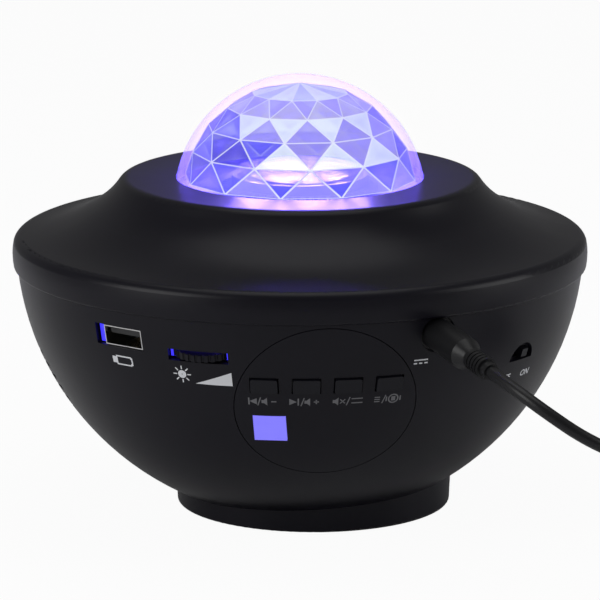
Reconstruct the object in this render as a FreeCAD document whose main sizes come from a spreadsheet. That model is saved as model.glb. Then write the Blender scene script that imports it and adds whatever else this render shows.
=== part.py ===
import FreeCAD, Part
import math
import os
import re

import Sketcher

from FreeCAD import Placement, Rotation, Vector

doc = FreeCAD.newDocument("StarLight")
sheet = doc.addObject("Spreadsheet::Sheet", "Sizes")

# Driving dimensions in millimetres and degrees. Heights are measured from the floor.
DRIVING = [
    ("lid_overhang", 1.0, "how much wider the lid is than the bowl's sphere"),
    ("lid_height", 25.5, "height of the flat ring above the seam"),
    ("lid_wall", 2.4, "wall of the lid"),
    ("plateau_width", 14.4, "width of the flat ring round the dome"),
    ("brim_drop", 17.1, "drop from the flat ring to the brim's shoulder"),
    ("rim_drop", 8.3, "how far the seam lies under the centre of the bowl's sphere"),
    ("seam_overlap", 3.4, "height of the bowl's tongue inside the lid"),
    ("seam_gap", 0.2, "radial gap between tongue and lid"),
    ("bowl_radius", 81.5, "outer radius of the bowl's sphere"),
    ("bowl_sink", 2.9, "how far the sphere's lowest point would lie under the floor"),
    ("bowl_wall", 2.4, "wall of the bowl"),
    ("wall_skin", 1.0, "how deep in the wall the bowl's inner mouldings start"),
    ("sleeve_wall", 1.2, "wall of the sleeves that hold the sockets and the switch"),
    ("sleeve_gap", 0.1, "gap round what a sleeve holds"),
    ("usb_sleeve", 9.0, "how deep the charging socket's sleeve reaches"),
    ("switch_sleeve", 7.6, "how deep the power switch's sleeve reaches"),
    ("jack_sleeve", 10.0, "how deep the power jack's sleeve reaches"),
    ("bowl_floor", 3.1, "thickness of the floor inside the foot"),
    ("foot_radius", 40.0, "radius of the foot where it meets the bowl"),
    ("foot_taper", 0.6, "how much narrower the foot is at its rim"),
    ("foot_offset", 3.9, "how far the foot stands to the right of the axis"),
    ("foot_lift", 0.5, "gap under the foot's rim"),
    ("foot_height", 12.0, "height of the foot's solid, up inside the bowl"),
    ("cover_lift", 0.4, "how far the bottom cover lies above the foot's rim"),
    ("foot_wall", 3.6, "width of the foot's rim outside the bottom cover"),
    ("cover_thickness", 2.0, "thickness of the bottom cover"),
    ("cover_gap", 0.2, "gap round the bottom cover"),
    ("access_rise", 1.0, "how far the opening above the cover is cut past the bowl's floor"),
    ("bore_cap", 0.5, "floor left above the bore of a cover screw"),
    ("cover_seat", 6.4, "width of the ledge that the bottom cover rests on"),
    ("cover_screw_inset", 3.2, "distance from the cover's edge to its screws"),
    ("pad_radius", 5.0, "radius of a rubber pad"),
    ("pad_height", 0.9, "thickness of a rubber pad"),
    ("pad_inset", 11.4, "distance from the cover's edge to the middle of a pad"),
    ("screw_radius", 1.2, "shank radius of the small screws"),
    ("screw_head", 2.3, "head radius of the small screws"),
    ("screw_head_height", 1.3, "head height of the small screws"),
    ("screw_gap", 0.1, "gap round a screw's shank"),
    ("sink_gap", 0.2, "gap round a sunk screw's head"),
    ("dome_sphere", 36.0, "radius of the dome's smooth outside"),
    ("dome_sink", 6.9, "how far the dome sphere's centre lies under the flat ring"),
    ("dome_wall", 1.8, "wall of the dome at a facet's corner"),
    ("dome_gap", 0.3, "gap between the dome and the lid's opening"),
    ("dome_throat", 0.7, "how much narrower the dome is where it passes the lid"),
    ("flange_width", 3.2, "width of the dome's flange"),
    ("flange_height", 2.0, "thickness of the dome's flange"),
    ("facet_step", 13.75, "polar angle between two rings of facets"),
    ("facet_start", 78.9, "polar angle of the lowest ring"),
    ("deck_margin", 2.8, "distance from the deck's screws to its edge"),
    ("deck_thickness", 2.0, "thickness of the lens deck"),
    ("collar_radius", 14.0, "outer radius of the collar that the lens turns on"),
    ("collar_wall", 1.5, "wall of the collar"),
    ("collar_height", 4.8, "height of the collar above the deck"),
    ("running_gap", 0.05, "radial gap of a running fit"),
    ("rest_gap", 0.3, "gap between a moving piece and what it rests on"),
    ("gear_module", 0.8, "module of the lens drive"),
    ("ring_teeth", 54, "teeth on the lens gear"),
    ("pinion_teeth", 12, "teeth on the drive pinion"),
    ("gear_width", 2.0, "width of the gear's toothed rim"),
    ("gear_backlash", 0.12, "play between two teeth in mesh"),
    ("lens_margin", 3.4, "distance from the lens's edge to the gear's pitch circle"),
    ("lens_rim", 1.2, "width of the gear's ring round the lens"),
    ("lens_seat", 0.6, "depth of the step that the lens sits in"),
    ("lens_gap", 0.1, "gap round the lens in its seat"),
    ("lens_thickness", 1.5, "thickness of the rippled lens"),
    ("lens_ripple", 0.35, "height of the lens's ripples"),
    ("ripple_count", 6, "number of ripples on the lens"),
    ("motor_radius", 7.0, "radius of the lens motor"),
    ("motor_height", 11.0, "height of the lens motor"),
    ("shaft_radius", 1.5, "radius of the motor's shaft"),
    ("shaft_seat", 6.0, "length of the shaft inside the motor"),
    ("shaft_clearance", 0.7, "gap round the shaft in the deck"),
    ("led_board_radius", 18.0, "radius of the lamp board"),
    ("board_thickness", 1.6, "thickness of every circuit board"),
    ("emitter_width", 5.0, "width of one lamp chip"),
    ("emitter_height", 0.9, "height of one lamp chip under its bead"),
    ("emitter_ring", 8.0, "radius of the ring of lamp chips"),
    ("laser_radius", 3.0, "radius of the laser module"),
    ("laser_height", 5.6, "height of the laser module"),
    ("laser_dish", 0.8, "depth of the dish in the laser module's end"),
    ("panel_radius", 25.0, "radius of the control panel"),
    ("panel_wall", 1.6, "thickness of the control panel"),
    ("panel_gap", 0.25, "gap line round the control panel"),
    ("panel_ledge", 0.7, "width of the ledge behind the panel"),
    ("panel_seat", 0.1, "gap between the panel and its ledge"),
    ("panel_drop", 24.5, "angle of the panel below the horizontal"),
    ("key_width", 7.5, "width of a key"),
    ("key_height", 4.3, "height of a key"),
    ("key_pitch", 11.5, "distance between two keys"),
    ("key_drop", 18.8, "angle of the keys below the horizontal"),
    ("key_proud", 0.6, "how far a key stands out of the panel"),
    ("key_gap", 0.3, "gap round a key"),
    ("key_travel", 0.3, "travel of a key"),
    ("key_flange", 0.7, "how far a key's flange reaches behind the panel"),
    ("key_soft", 0.6, "radius of a key's upright edges"),
    ("key_back", 0.8, "thickness of a key's flange"),
    ("key_stem", 0.9, "radius of a key's stem"),
    ("tact_width", 4.5, "width of the small switch under a key"),
    ("tact_height", 2.5, "height of that switch"),
    ("tact_gap", 0.65, "gap between a key's stem and its switch"),
    ("board_depth", 8.5, "how deep the panel's board lies behind the bowl's outside"),
    ("panel_board_width", 38.0, "width of the panel's board"),
    ("panel_board_height", 34.0, "height of the panel's board"),
    ("post_radius", 1.4, "radius of a post that carries the panel's board"),
    ("post_inset", 2.2, "distance from the board's side to its posts"),
    ("post_inset_up", 2.4, "distance from the board's top to its posts"),
    ("cut_reach", 4.0, "how far a cut reaches on both sides of the bowl's outside"),
    ("window_sink", 0.1, "how deep the window lies in the panel, and the gap round it"),
    ("receiver_width", 5.0, "width of the infrared receiver"),
    ("receiver_thickness", 2.4, "thickness of the receiver"),
    ("receiver_depth", 5.6, "how deep the receiver's back lies"),
    ("receiver_rise", 1.6, "how far the receiver sits above the window's middle"),
    ("receiver_eye", 1.5, "radius of the receiver's lens"),
    ("lead_width", 0.5, "width of a receiver's lead"),
    ("lead_pitch", 1.0, "distance between two leads"),
    ("lead_length", 1.3, "length of a lead"),
    ("lead_root", 0.1, "how far a lead is rooted in the receiver"),
    ("window_width", 9.0, "width of the infrared window"),
    ("window_azimuth", -12.25, "azimuth of the infrared window"),
    ("window_drop", 29.15, "angle of the window below the horizontal"),
    ("usb_azimuth", -43.4, "azimuth of the charging socket"),
    ("usb_drop", 11.25, "angle of the charging socket below the horizontal"),
    ("usb_width", 13.1, "outer width of the socket's metal shell"),
    ("usb_height", 5.7, "outer height of the socket's metal shell"),
    ("usb_depth", 13.0, "depth of the socket"),
    ("usb_wall", 0.3, "wall of the socket's shell"),
    ("usb_back", 0.8, "thickness of the socket's back"),
    ("usb_sink", 0.6, "how deep the socket's mouth lies under the bowl's outside"),
    ("tongue_width", 11.1, "width of the socket's tongue"),
    ("tongue_height", 1.8, "thickness of the tongue"),
    ("tongue_rise", 1.0, "how far the tongue sits above the socket's middle"),
    ("usb_gap", 0.25, "gap round the charging socket's mouth"),
    ("usb_cut", 2.9, "how deep the opening for the charging socket is cut"),
    ("usb_slack", 2.9, "how far the cut-out is wider than the socket"),
    ("wheel_azimuth", -26.3, "azimuth of the brightness wheel"),
    ("wheel_drop", 13.3, "angle of the brightness wheel below the horizontal"),
    ("wheel_radius", 11.0, "radius of the brightness wheel"),
    ("wheel_width", 2.0, "width of the brightness wheel"),
    ("wheel_proud", 1.2, "how far the wheel stands out of the bowl"),
    ("wheel_notches", 36, "notches on the wheel's edge"),
    ("wheel_notch", 0.45, "radius of one notch"),
    ("slot_inset", 2.2, "how much the slot's half width falls short of the wheel's radius"),
    ("slot_gap", 0.7, "gap over and under the wheel in its slot"),
    ("dimmer_width", 10.0, "width of the control that the wheel turns"),
    ("dimmer_height", 5.0, "height of that control"),
    ("shelf_width", 8.0, "width of the shelf that carries the control"),
    ("shelf_height", 3.6, "height of that shelf"),
    ("wheel_post", 3.0, "radius of the post that the wheel turns on"),
    ("jack_azimuth", 22.5, "azimuth of the power jack"),
    ("jack_drop", 9.2, "angle of the power jack below the horizontal"),
    ("jack_radius", 4.9, "radius of the power jack's barrel"),
    ("jack_length", 12.0, "length of the power jack"),
    ("jack_recess", 1.2, "how deep the jack's face lies in the wall"),
    ("jack_hole", 5.3, "radius of the hole in the wall"),
    ("jack_wall", 1.6, "wall of the holder round the jack"),
    ("barrel_radius", 2.75, "radius of the plug's barrel"),
    ("barrel_length", 9.0, "length of the plug's barrel"),
    ("pin_radius", 1.0, "radius of the jack's centre pin"),
    ("plug_gap", 0.15, "gap round the plug's barrel, and round the pin in it"),
    ("plug_radius", 4.5, "radius of the plug's grip"),
    ("plug_length", 29.0, "length of the plug outside the wall"),
    ("barrel_cap", 0.4, "closed end of the plug's barrel"),
    ("grip_length", 15.0, "length of the plug's straight grip"),
    ("shoulder_length", 3.5, "length of the taper behind the grip"),
    ("relief_lip", 1.1, "how much thicker than the cord the strain relief starts"),
    ("relief_end", 0.5, "how much thicker than the cord the strain relief ends"),
    ("relief_ribs", 5, "ribs on the strain relief"),
    ("rib_inset", 1.0, "distance from the taper to the first rib"),
    ("rib_pitch", 1.5, "distance between two ribs of the strain relief"),
    ("rib_height", 0.2, "how far a rib stands out"),
    ("rib_width", 1.1, "width of a rib"),
    ("cord_radius", 1.75, "radius of the power cord"),
    ("switch_azimuth", 47.1, "azimuth of the power switch"),
    ("switch_drop", 17.2, "angle of the power switch below the horizontal"),
    ("scoop_radius", 5.25, "radius of the switch's D-shaped scoop"),
    ("scoop_depth", 1.6, "depth of the scoop"),
    ("scoop_drop", 1.8, "how far the scoop's flat side lies under the knob's middle"),
    ("knob_gap", 0.4, "gap beside the knob at both ends of its travel"),
    ("knob_width", 2.6, "width of the switch's knob"),
    ("knob_height", 2.4, "height of the switch's knob"),
    ("knob_root", 0.55, "how deep the knob starts behind the bowl's wall"),
    ("slider_width", 5.0, "width of the plate that carries the knob"),
    ("slider_height", 3.2, "height of that plate"),
    ("slider_thickness", 0.8, "thickness of that plate"),
    ("can_width", 11.0, "width of the switch's body"),
    ("can_height", 4.4, "height of the switch's body"),
    ("can_depth", 4.0, "depth of the switch's body"),
    ("switch_travel", 3.0, "travel of the switch"),
    ("grille_azimuth", -90.0, "azimuth of the speaker grille"),
    ("grille_drop", 30.0, "angle of the grille below the horizontal"),
    ("grille_radius", 15.0, "radius of the grille"),
    ("grille_pitch", 3.6, "distance between two rows of slots"),
    ("grille_slot", 1.6, "height of one slot"),
    ("grille_rib", 1.6, "width of the rib between two slots in a row"),
    ("speaker_radius", 18.0, "radius of the speaker's frame"),
    ("magnet_radius", 11.0, "radius of the speaker's magnet"),
    ("speaker_depth", 16.0, "depth of the speaker"),
    ("speaker_front", 5.6, "how deep the speaker's front lies behind the bowl's outside"),
    ("ring_lip", 1.0, "how much wider than the speaker the ring round it is"),
    ("ring_seat", 1.8, "width of the seat on which the speaker's edge rests"),
    ("basket_height", 9.0, "height of the speaker's basket"),
    ("basket_rim", 1.6, "thickness of the basket's rim"),
    ("basket_lap", 1.0, "how far the basket laps the magnet"),
    ("basket_wall", 2.0, "thickness of the basket's back"),
    ("surround", 2.4, "width of the ring outside the cone"),
    ("cone_thickness", 0.5, "thickness of the cone's edge"),
    ("cone_back", 3.6, "height of the cone's inner edge"),
    ("cap_radius", 5.5, "radius of the cone's middle"),
    ("cap_hollow", 3.4, "height of the middle's hollow"),
    ("cap_edge", 4.4, "height of the hollow's edge"),
    ("cap_join_radius", 6.2, "radius at which cap and cone meet"),
    ("cap_join", 4.9, "height at which cap and cone meet"),
    ("cap_top", 6.6, "height of the cap's top"),
    ("main_board_length", 60.0, "length of the main board"),
    ("main_board_width", 44.0, "width of the main board"),
    ("chip_width", 14.0, "width of the main board's largest chip"),
    ("chip_height", 1.6, "height of that chip"),
    ("chip_place", 8.0, "how far left of the board's middle the chip sits"),
    ("capacitor_radius", 4.0, "radius of a capacitor"),
    ("capacitor_height", 9.0, "height of a capacitor"),
    ("capacitor_place", 14.0, "how far right of the board's middle the capacitors stand"),
    ("board_screw_depth", 5.0, "how deep a board screw reaches into its boss"),
    ("boss_height", 8.0, "height of the bosses under the main board"),
    ("boss_radius", 3.0, "radius of a boss"),
    ("boss_root", 0.5, "how far a boss is rooted in what it stands on"),
    ("boss_inset", 4.0, "distance from a board's edge to its screws"),
    ("usb_plug_length", 34.0, "length of the plug at the cord's far end"),
    ("usb_plug_width", 16.0, "width of that plug's grip"),
    ("usb_plug_height", 8.4, "height of that plug's grip"),
    ("neck_length", 6.0, "length of that plug's neck"),
    ("neck_lip", 1.0, "how much thicker than the cord the neck is"),
    ("grip_soft", 1.5, "radius of the grip's long edges"),
    ("tip_width", 12.0, "width of that plug's metal tip"),
    ("tip_height", 4.5, "height of the metal tip"),
    ("tip_length", 12.0, "length of the metal tip"),
    ("tip_back", 0.5, "thickness of the tip's back"),
    ("coil_inner", 11.5, "radius of the coil's smallest loop"),
    ("coil_pitch", 4.6, "distance between two loops of a layer"),
    ("coil_rise", 4.4, "distance between the coil's two layers"),
    ("coil_loops", 4, "loops in one layer of the coil"),
    ("cord_lift", 0.1, "gap between the cord and the floor"),
    ("cord_end_x", 163.0, "how far to the right the free cord passes into its coil"),
    ("cord_end_y", -100.0, "how far in front of the axis it does, as a negative number"),
    ("tail_length", 24.0, "how far the cord runs on from the coil to its far plug"),
    ("tail_drift", 0.4, "how far it drifts to the front on that run"),
]

for row, (alias, number, note) in enumerate(DRIVING, start=1):
    sheet.set("A%d" % row, alias)
    sheet.set("B%d" % row, str(number))
    sheet.setAlias("B%d" % row, alias)
    sheet.set("C%d" % row, note)

# Sizes that follow from the driving ones.
DERIVED = [
    ("bowl_centre", "=bowl_radius - bowl_sink", "height of the sphere's centre"),
    ("rim_height", "=bowl_centre - rim_drop", "height of the seam between lid and bowl"),
    ("lid_radius", "=bowl_radius + lid_overhang", "widest radius of the lid's band"),
    ("lid_top", "=rim_height + lid_height", "height of the flat ring round the dome"),
    ("lid_inside", "=lid_radius - lid_wall + 0.5", "radius of the lid's inside at the seam"),
    ("plateau_radius", "=dome_sphere + plateau_width", "outer radius of the flat ring"),
    ("cover_radius", "=foot_radius - foot_wall", "radius of the bottom cover"),
    ("access_radius", "=cover_radius - cover_seat", "radius of the opening above the cover"),
    ("cover_screw_ring", "=cover_radius - cover_screw_inset", "radius of the ring of cover screws"),
    ("pad_ring", "=cover_radius - pad_inset", "radius of the ring of pads"),
    ("dome_centre", "=lid_top - dome_sink", "height of the dome sphere's centre"),
    ("dome_neck", "=dome_sphere - dome_throat", "radius of the dome where it passes the lid"),
    ("deck_screw_ring", "=dome_neck + flange_width + boss_radius + rest_gap", "radius of the deck's screws"),
    ("deck_radius", "=deck_screw_ring + deck_margin", "radius of the lens deck"),
    ("collar_bore", "=collar_radius - collar_wall", "inner radius of the collar"),
    ("lens_radius", "=gear_module * ring_teeth / 2 - lens_margin", "radius of the rippled lens"),
    ("wheel_slot_width", "=2 * (wheel_radius - slot_inset)", "width of the wheel's slot"),
    ("wheel_slot_height", "=wheel_width + 2 * slot_gap", "height of the wheel's slot"),
    ("deck_top", "=lid_top - lid_wall - flange_height", "height of the lens deck's top"),
    ("deck_bottom", "=deck_top - deck_thickness", "height of the lens deck's underside"),
    ("gear_floor", "=deck_top + rest_gap", "height of the gears' underside"),
    ("gear_distance", "=gear_module * (ring_teeth + pinion_teeth) / 2", "from axis to axis"),
    ("lens_floor", "=deck_top + collar_height + rest_gap", "height of the lens's underside"),
    ("cover_top", "=foot_lift + cover_lift + cover_thickness", "height of the bottom cover's top"),
    ("cavity_floor", "=cover_top + bowl_floor", "height of the bowl's floor inside"),
    ("board_floor", "=cavity_floor + boss_height", "height of the main board's underside"),
    ("coil_outer", "=coil_inner + coil_pitch * coil_loops", "radius of the coil's largest loop"),
    ("relief_radius", "=cord_radius + relief_lip", "radius of the strain relief at the taper"),
    ("coil_lead", "=2 * cord_radius + 0.5", "straight start of the coil"),
]

for row, (alias, formula, note) in enumerate(DERIVED, start=len(DRIVING) + 1):
    sheet.set("A%d" % row, alias)
    sheet.set("B%d" % row, formula)
    sheet.setAlias("B%d" % row, alias)
    sheet.set("C%d" % row, note)
doc.recompute()

SHEET_WORD = re.compile(r"\b[a-z]\w*\b(?!\()")


def linked(formula):
    """The same formula with each alias written as a link to the sheet."""
    return SHEET_WORD.sub(lambda word: "Sizes." + word.group(0), formula)


def value(formula):
    """The formula's value now, in millimetres or degrees."""
    result = sheet.evalExpression(formula)
    return float(getattr(result, "Value", result))


def bind(item, **links):
    """Tie an object's properties to formulas of the sheet."""
    for name, formula in links.items():
        item.setExpression(name, linked(formula))
    return item


def origin_plane(body, role):
    """One of a body's own origin planes, found by its role."""
    for feature in body.Origin.OriginFeatures:
        if feature.Role == role:
            return feature
    raise ValueError(role)


def attached_sketch(body, role, name):
    """A new sketch on one of the body's origin planes."""
    sketch = body.newObject("Sketcher::SketchObject", name)
    sketch.AttachmentSupport = [(origin_plane(body, role), "")]
    sketch.MapMode = "FlatFace"
    return sketch


def draw_outline(sketch, corners, arcs=None):
    """A closed outline tied to the sheet.

    Each corner is a pair of formulas. arcs gives, for the edge that starts at
    a corner, the arc's radius and the side it bulges to: 1 right, -1 left.
    """
    arcs = arcs or {}
    points = [Vector(value(across), value(up), 0) for across, up in corners]
    ends = []
    for index, start in enumerate(points):
        finish = points[(index + 1) % len(points)]
        if index in arcs:
            radius_formula, side = arcs[index]
            radius = value(radius_formula)
            chord = finish - start
            inward = Vector(chord.y, -chord.x, 0).normalize() * -side
            reach = math.sqrt(max(radius ** 2 - (chord.Length / 2) ** 2, 0))
            centre = start + chord / 2 + inward * reach
            first, last = (start, finish) if side > 0 else (finish, start)
            low = math.atan2(first.y - centre.y, first.x - centre.x)
            high = math.atan2(last.y - centre.y, last.x - centre.x)
            if high < low:
                high += 2 * math.pi
            circle = Part.Circle(centre, Vector(0, 0, 1), radius)
            edge = sketch.addGeometry(Part.ArcOfCircle(circle, low, high), False)
            ends.append((edge, 1, 2) if side > 0 else (edge, 2, 1))
            rule = sketch.addConstraint(Sketcher.Constraint("Radius", edge, radius))
            sketch.setExpression("Constraints[%d]" % rule, linked(radius_formula))
        else:
            edge = sketch.addGeometry(Part.LineSegment(start, finish), False)
            ends.append((edge, 1, 2))
    for index, (edge, start_end, _) in enumerate(ends):
        before, _, before_end = ends[index - 1]
        sketch.addConstraint(Sketcher.Constraint("Coincident", before, before_end, edge, start_end))
        for kind, formula in zip(("DistanceX", "DistanceY"), corners[index]):
            number = value(formula)
            rule = sketch.addConstraint(Sketcher.Constraint(kind, -1, 1, edge, start_end, number))
            sketch.setExpression("Constraints[%d]" % rule, linked(formula))


def turned(name, corners, arcs=None, place=None):
    """A body turned about its own Z axis from an outline of radius and height."""
    body = doc.addObject("PartDesign::Body", name)
    sketch = attached_sketch(body, "XZ_Plane", name + "_outline")
    draw_outline(sketch, corners, arcs)
    turn = body.newObject("PartDesign::Revolution", name + "_turn")
    turn.Profile = sketch
    turn.ReferenceAxis = (sketch, ["V_Axis"])
    turn.Angle = 360
    body.Tip = turn
    if place:
        body.Placement = place
    return body


def shifted(x=0.0, y=0.0, z=0.0):
    """A placement that only moves."""
    return Placement(Vector(x, y, z), Rotation())


def on_bowl(azimuth, drop, depth=0.0):
    """A frame on the bowl's outside: X to the right, Y up the wall, Z outward."""
    turn = Rotation(Vector(0, 0, 1), azimuth) * Rotation(Vector(1, 0, 0), 90 + drop)
    outward = turn.multVec(Vector(0, 0, 1))
    centre = Vector(0, 0, value("bowl_centre"))
    return Placement(centre + outward * (value("bowl_radius") - depth), turn)


def block(name, width, height, depth, place, x="0", y="0", z="0"):
    """A box centred across X and Y, from height z upward, in the frame place."""
    box = bind(doc.addObject("Part::Box", name), Length=width, Width=height, Height=depth)
    corner = shifted(value(x) - value(width) / 2, value(y) - value(height) / 2, value(z))
    box.Placement = place * corner
    return box


def rod(name, radius, length, place, x="0", y="0", z="0"):
    """A cylinder along the frame's Z axis, from height z upward."""
    cylinder = bind(doc.addObject("Part::Cylinder", name), Radius=radius, Height=length)
    cylinder.Placement = place * shifted(value(x), value(y), value(z))
    return cylinder


def ball(name, radius, place=None):
    """A sphere about the bowl's centre, or about the origin of a frame."""
    sphere = bind(doc.addObject("Part::Sphere", name), Radius=radius)
    sphere.Placement = place or shifted(z=value("bowl_centre"))
    return sphere


def joined(name, pieces):
    """One solid or group from several."""
    fuse = doc.addObject("Part::MultiFuse", name)
    fuse.Shapes = pieces
    return fuse


def cut(name, base, tool):
    """The base without the tool."""
    less = doc.addObject("Part::Cut", name)
    less.Base = base
    less.Tool = tool
    return less


def overlap(name, first, second):
    """What two solids share."""
    common = doc.addObject("Part::MultiCommon", name)
    common.Shapes = [first, second]
    return common


def grouped(name, pieces):
    """Separate solids that share one name."""
    group = doc.addObject("Part::Compound", name)
    group.Links = pieces
    return group


def rounded(name, base, edges, radius):
    """The base with the listed edges rounded."""
    doc.recompute()
    fillet = doc.addObject("Part::Fillet", name)
    fillet.Base = base
    fillet.Edges = [(edge, value(radius), value(radius)) for edge in edges]
    return fillet


nodes = {}


def node(name, item):
    """Name a finished piece; the label is its file's name."""
    item.Label = name
    nodes[name] = item
    return item


UPRIGHT_EDGES = (1, 3, 5, 7)


def around(count, radius, start=0.0):
    """Evenly spaced places on a ring about the Z axis."""
    places = []
    for index in range(count):
        angle = math.radians(start + 360.0 * index / count)
        places.append((radius * math.cos(angle), radius * math.sin(angle)))
    return places


def build_lid():
    """The upper housing: flat ring, hollow flare, brim and barrelled band."""
    corners = [
        ("dome_neck + dome_gap", "lid_top - lid_wall"),
        ("dome_neck + dome_gap", "lid_top"),
        ("plateau_radius - 1.2", "lid_top"),
        ("plateau_radius + 1.4", "lid_top - 1.2"),
        ("plateau_radius + 10.1", "lid_top - 9.3"),
        ("lid_radius - 3.0", "lid_top - brim_drop + 0.8"),
        ("lid_radius - 0.3", "lid_top - brim_drop - 1.4"),
        ("lid_radius - 0.3", "rim_height + 0.7"),
        ("lid_radius - 0.9", "rim_height"),
        ("lid_inside", "rim_height"),
        ("lid_inside", "lid_top - brim_drop - lid_wall"),
        ("plateau_radius + 9.6", "lid_top - lid_wall - 9.4"),
        ("plateau_radius + 1.2", "lid_top - lid_wall - 3.0"),
        ("plateau_radius - 1.8", "lid_top - lid_wall"),
    ]
    arcs = {
        2: ("3.2", -1),
        3: ("26", 1),
        4: ("46", 1),
        5: ("2.9", -1),
        6: ("17", -1),
        7: ("0.9", -1),
    }
    pieces = [turned("lid_shell", corners, arcs)]
    holes = []
    for index, (x, y) in enumerate(around(3, value("deck_screw_ring"), 30)):
        foot = shifted(x, y, value("deck_top"))
        pieces.append(rod("lid_boss_%d" % index, "boss_radius", "flange_height + boss_root", foot))
        holes.append(rod("lid_bore_%d" % index, "screw_radius + screw_gap", "flange_height", foot))
    housing = cut("lid_bored", joined("lid_bossed", pieces), joined("lid_bores", holes))
    node("upper_housing", housing)


def facet_corners():
    """Corners of the dome's inside: rings of twelve, each turned half a step."""
    radius = value("dome_sphere - dome_wall")
    rings = []
    for level in range(5):
        polar = math.radians(value("facet_start") - level * value("facet_step"))
        ring = []
        for index in range(12):
            turn = math.radians(-90 + 30 * index + (15 if level % 2 == 0 else 0))
            flat = radius * math.sin(polar)
            up = value("dome_centre") + radius * math.cos(polar)
            ring.append(Vector(flat * math.cos(turn), flat * math.sin(turn), up))
        rings.append(ring)
    return rings, Vector(0, 0, value("dome_centre") + radius)


def facet_core():
    """The faceted hollow of the dome as one solid, down through its flange."""
    rings, apex = facet_corners()
    below = value("deck_bottom")
    skirt = [Vector(point.x, point.y, below) for point in rings[0]]
    triangles = []
    for index in range(12):
        after = (index + 1) % 12
        triangles.append((skirt[index], skirt[after], rings[0][after], rings[0][index]))
        triangles.append((rings[4][index], rings[4][after], apex))
        for level in range(4):
            low, high = rings[level], rings[level + 1]
            if level % 2 == 0:
                triangles.append((low[index], low[after], high[after]))
                triangles.append((low[index], high[after], high[index]))
            else:
                triangles.append((low[index], low[after], high[index]))
                triangles.append((low[after], high[after], high[index]))
    triangles.append(tuple(reversed(skirt)))
    faces = [Part.Face(Part.makePolygon(list(corners) + [corners[0]])) for corners in triangles]
    core = doc.addObject("Part::Feature", "facet_core")
    core.Shape = Part.makeSolid(Part.makeShell(faces))
    core.Placement = Placement()
    return core


def build_dome():
    """The clear dome: smooth outside, diamond facets inside, flange under the lid."""
    corners = [
        ("0", "deck_top"),
        ("dome_neck + flange_width", "deck_top"),
        ("dome_neck + flange_width", "deck_top + flange_height"),
        ("dome_neck", "deck_top + flange_height"),
        ("dome_neck", "dome_centre + sqrt(dome_sphere ^ 2 - dome_neck ^ 2)"),
        ("0", "dome_centre + dome_sphere"),
    ]
    outside = turned("dome_outside", corners, {4: ("dome_sphere", 1)})
    node("dome_cover", cut("dome_hollowed", outside, facet_core()))


def gear_outline(teeth, tooth_gap):
    """One gear's outline in code: straight-flanked teeth round its pitch circle."""
    module = value("gear_module")
    pitch = module * teeth / 2
    tip = pitch + 0.9 * module
    root = pitch - 1.15 * module
    half = math.pi / (2 * teeth) - tooth_gap / (2 * pitch)
    points = []
    for index in range(teeth):
        middle = 2 * math.pi * index / teeth
        for reach, share in ((root, -1.55), (tip, -0.55), (tip, 0.55), (root, 1.55)):
            angle = middle + share * half
            points.append(Vector(reach * math.cos(angle), reach * math.sin(angle), 0))
    return Part.Face(Part.makePolygon(points + [points[0]]))


def toothed(name, teeth, turn, place):
    """A toothed rim, turned about its axis so that it meshes."""
    rim = doc.addObject("Part::Feature", name)
    rim.Shape = gear_outline(int(teeth), value("gear_backlash")).extrude(Vector(0, 0, value("gear_width")))
    rim.Placement = place * Placement(Vector(), Rotation(Vector(0, 0, 1), turn))
    return rim


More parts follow.
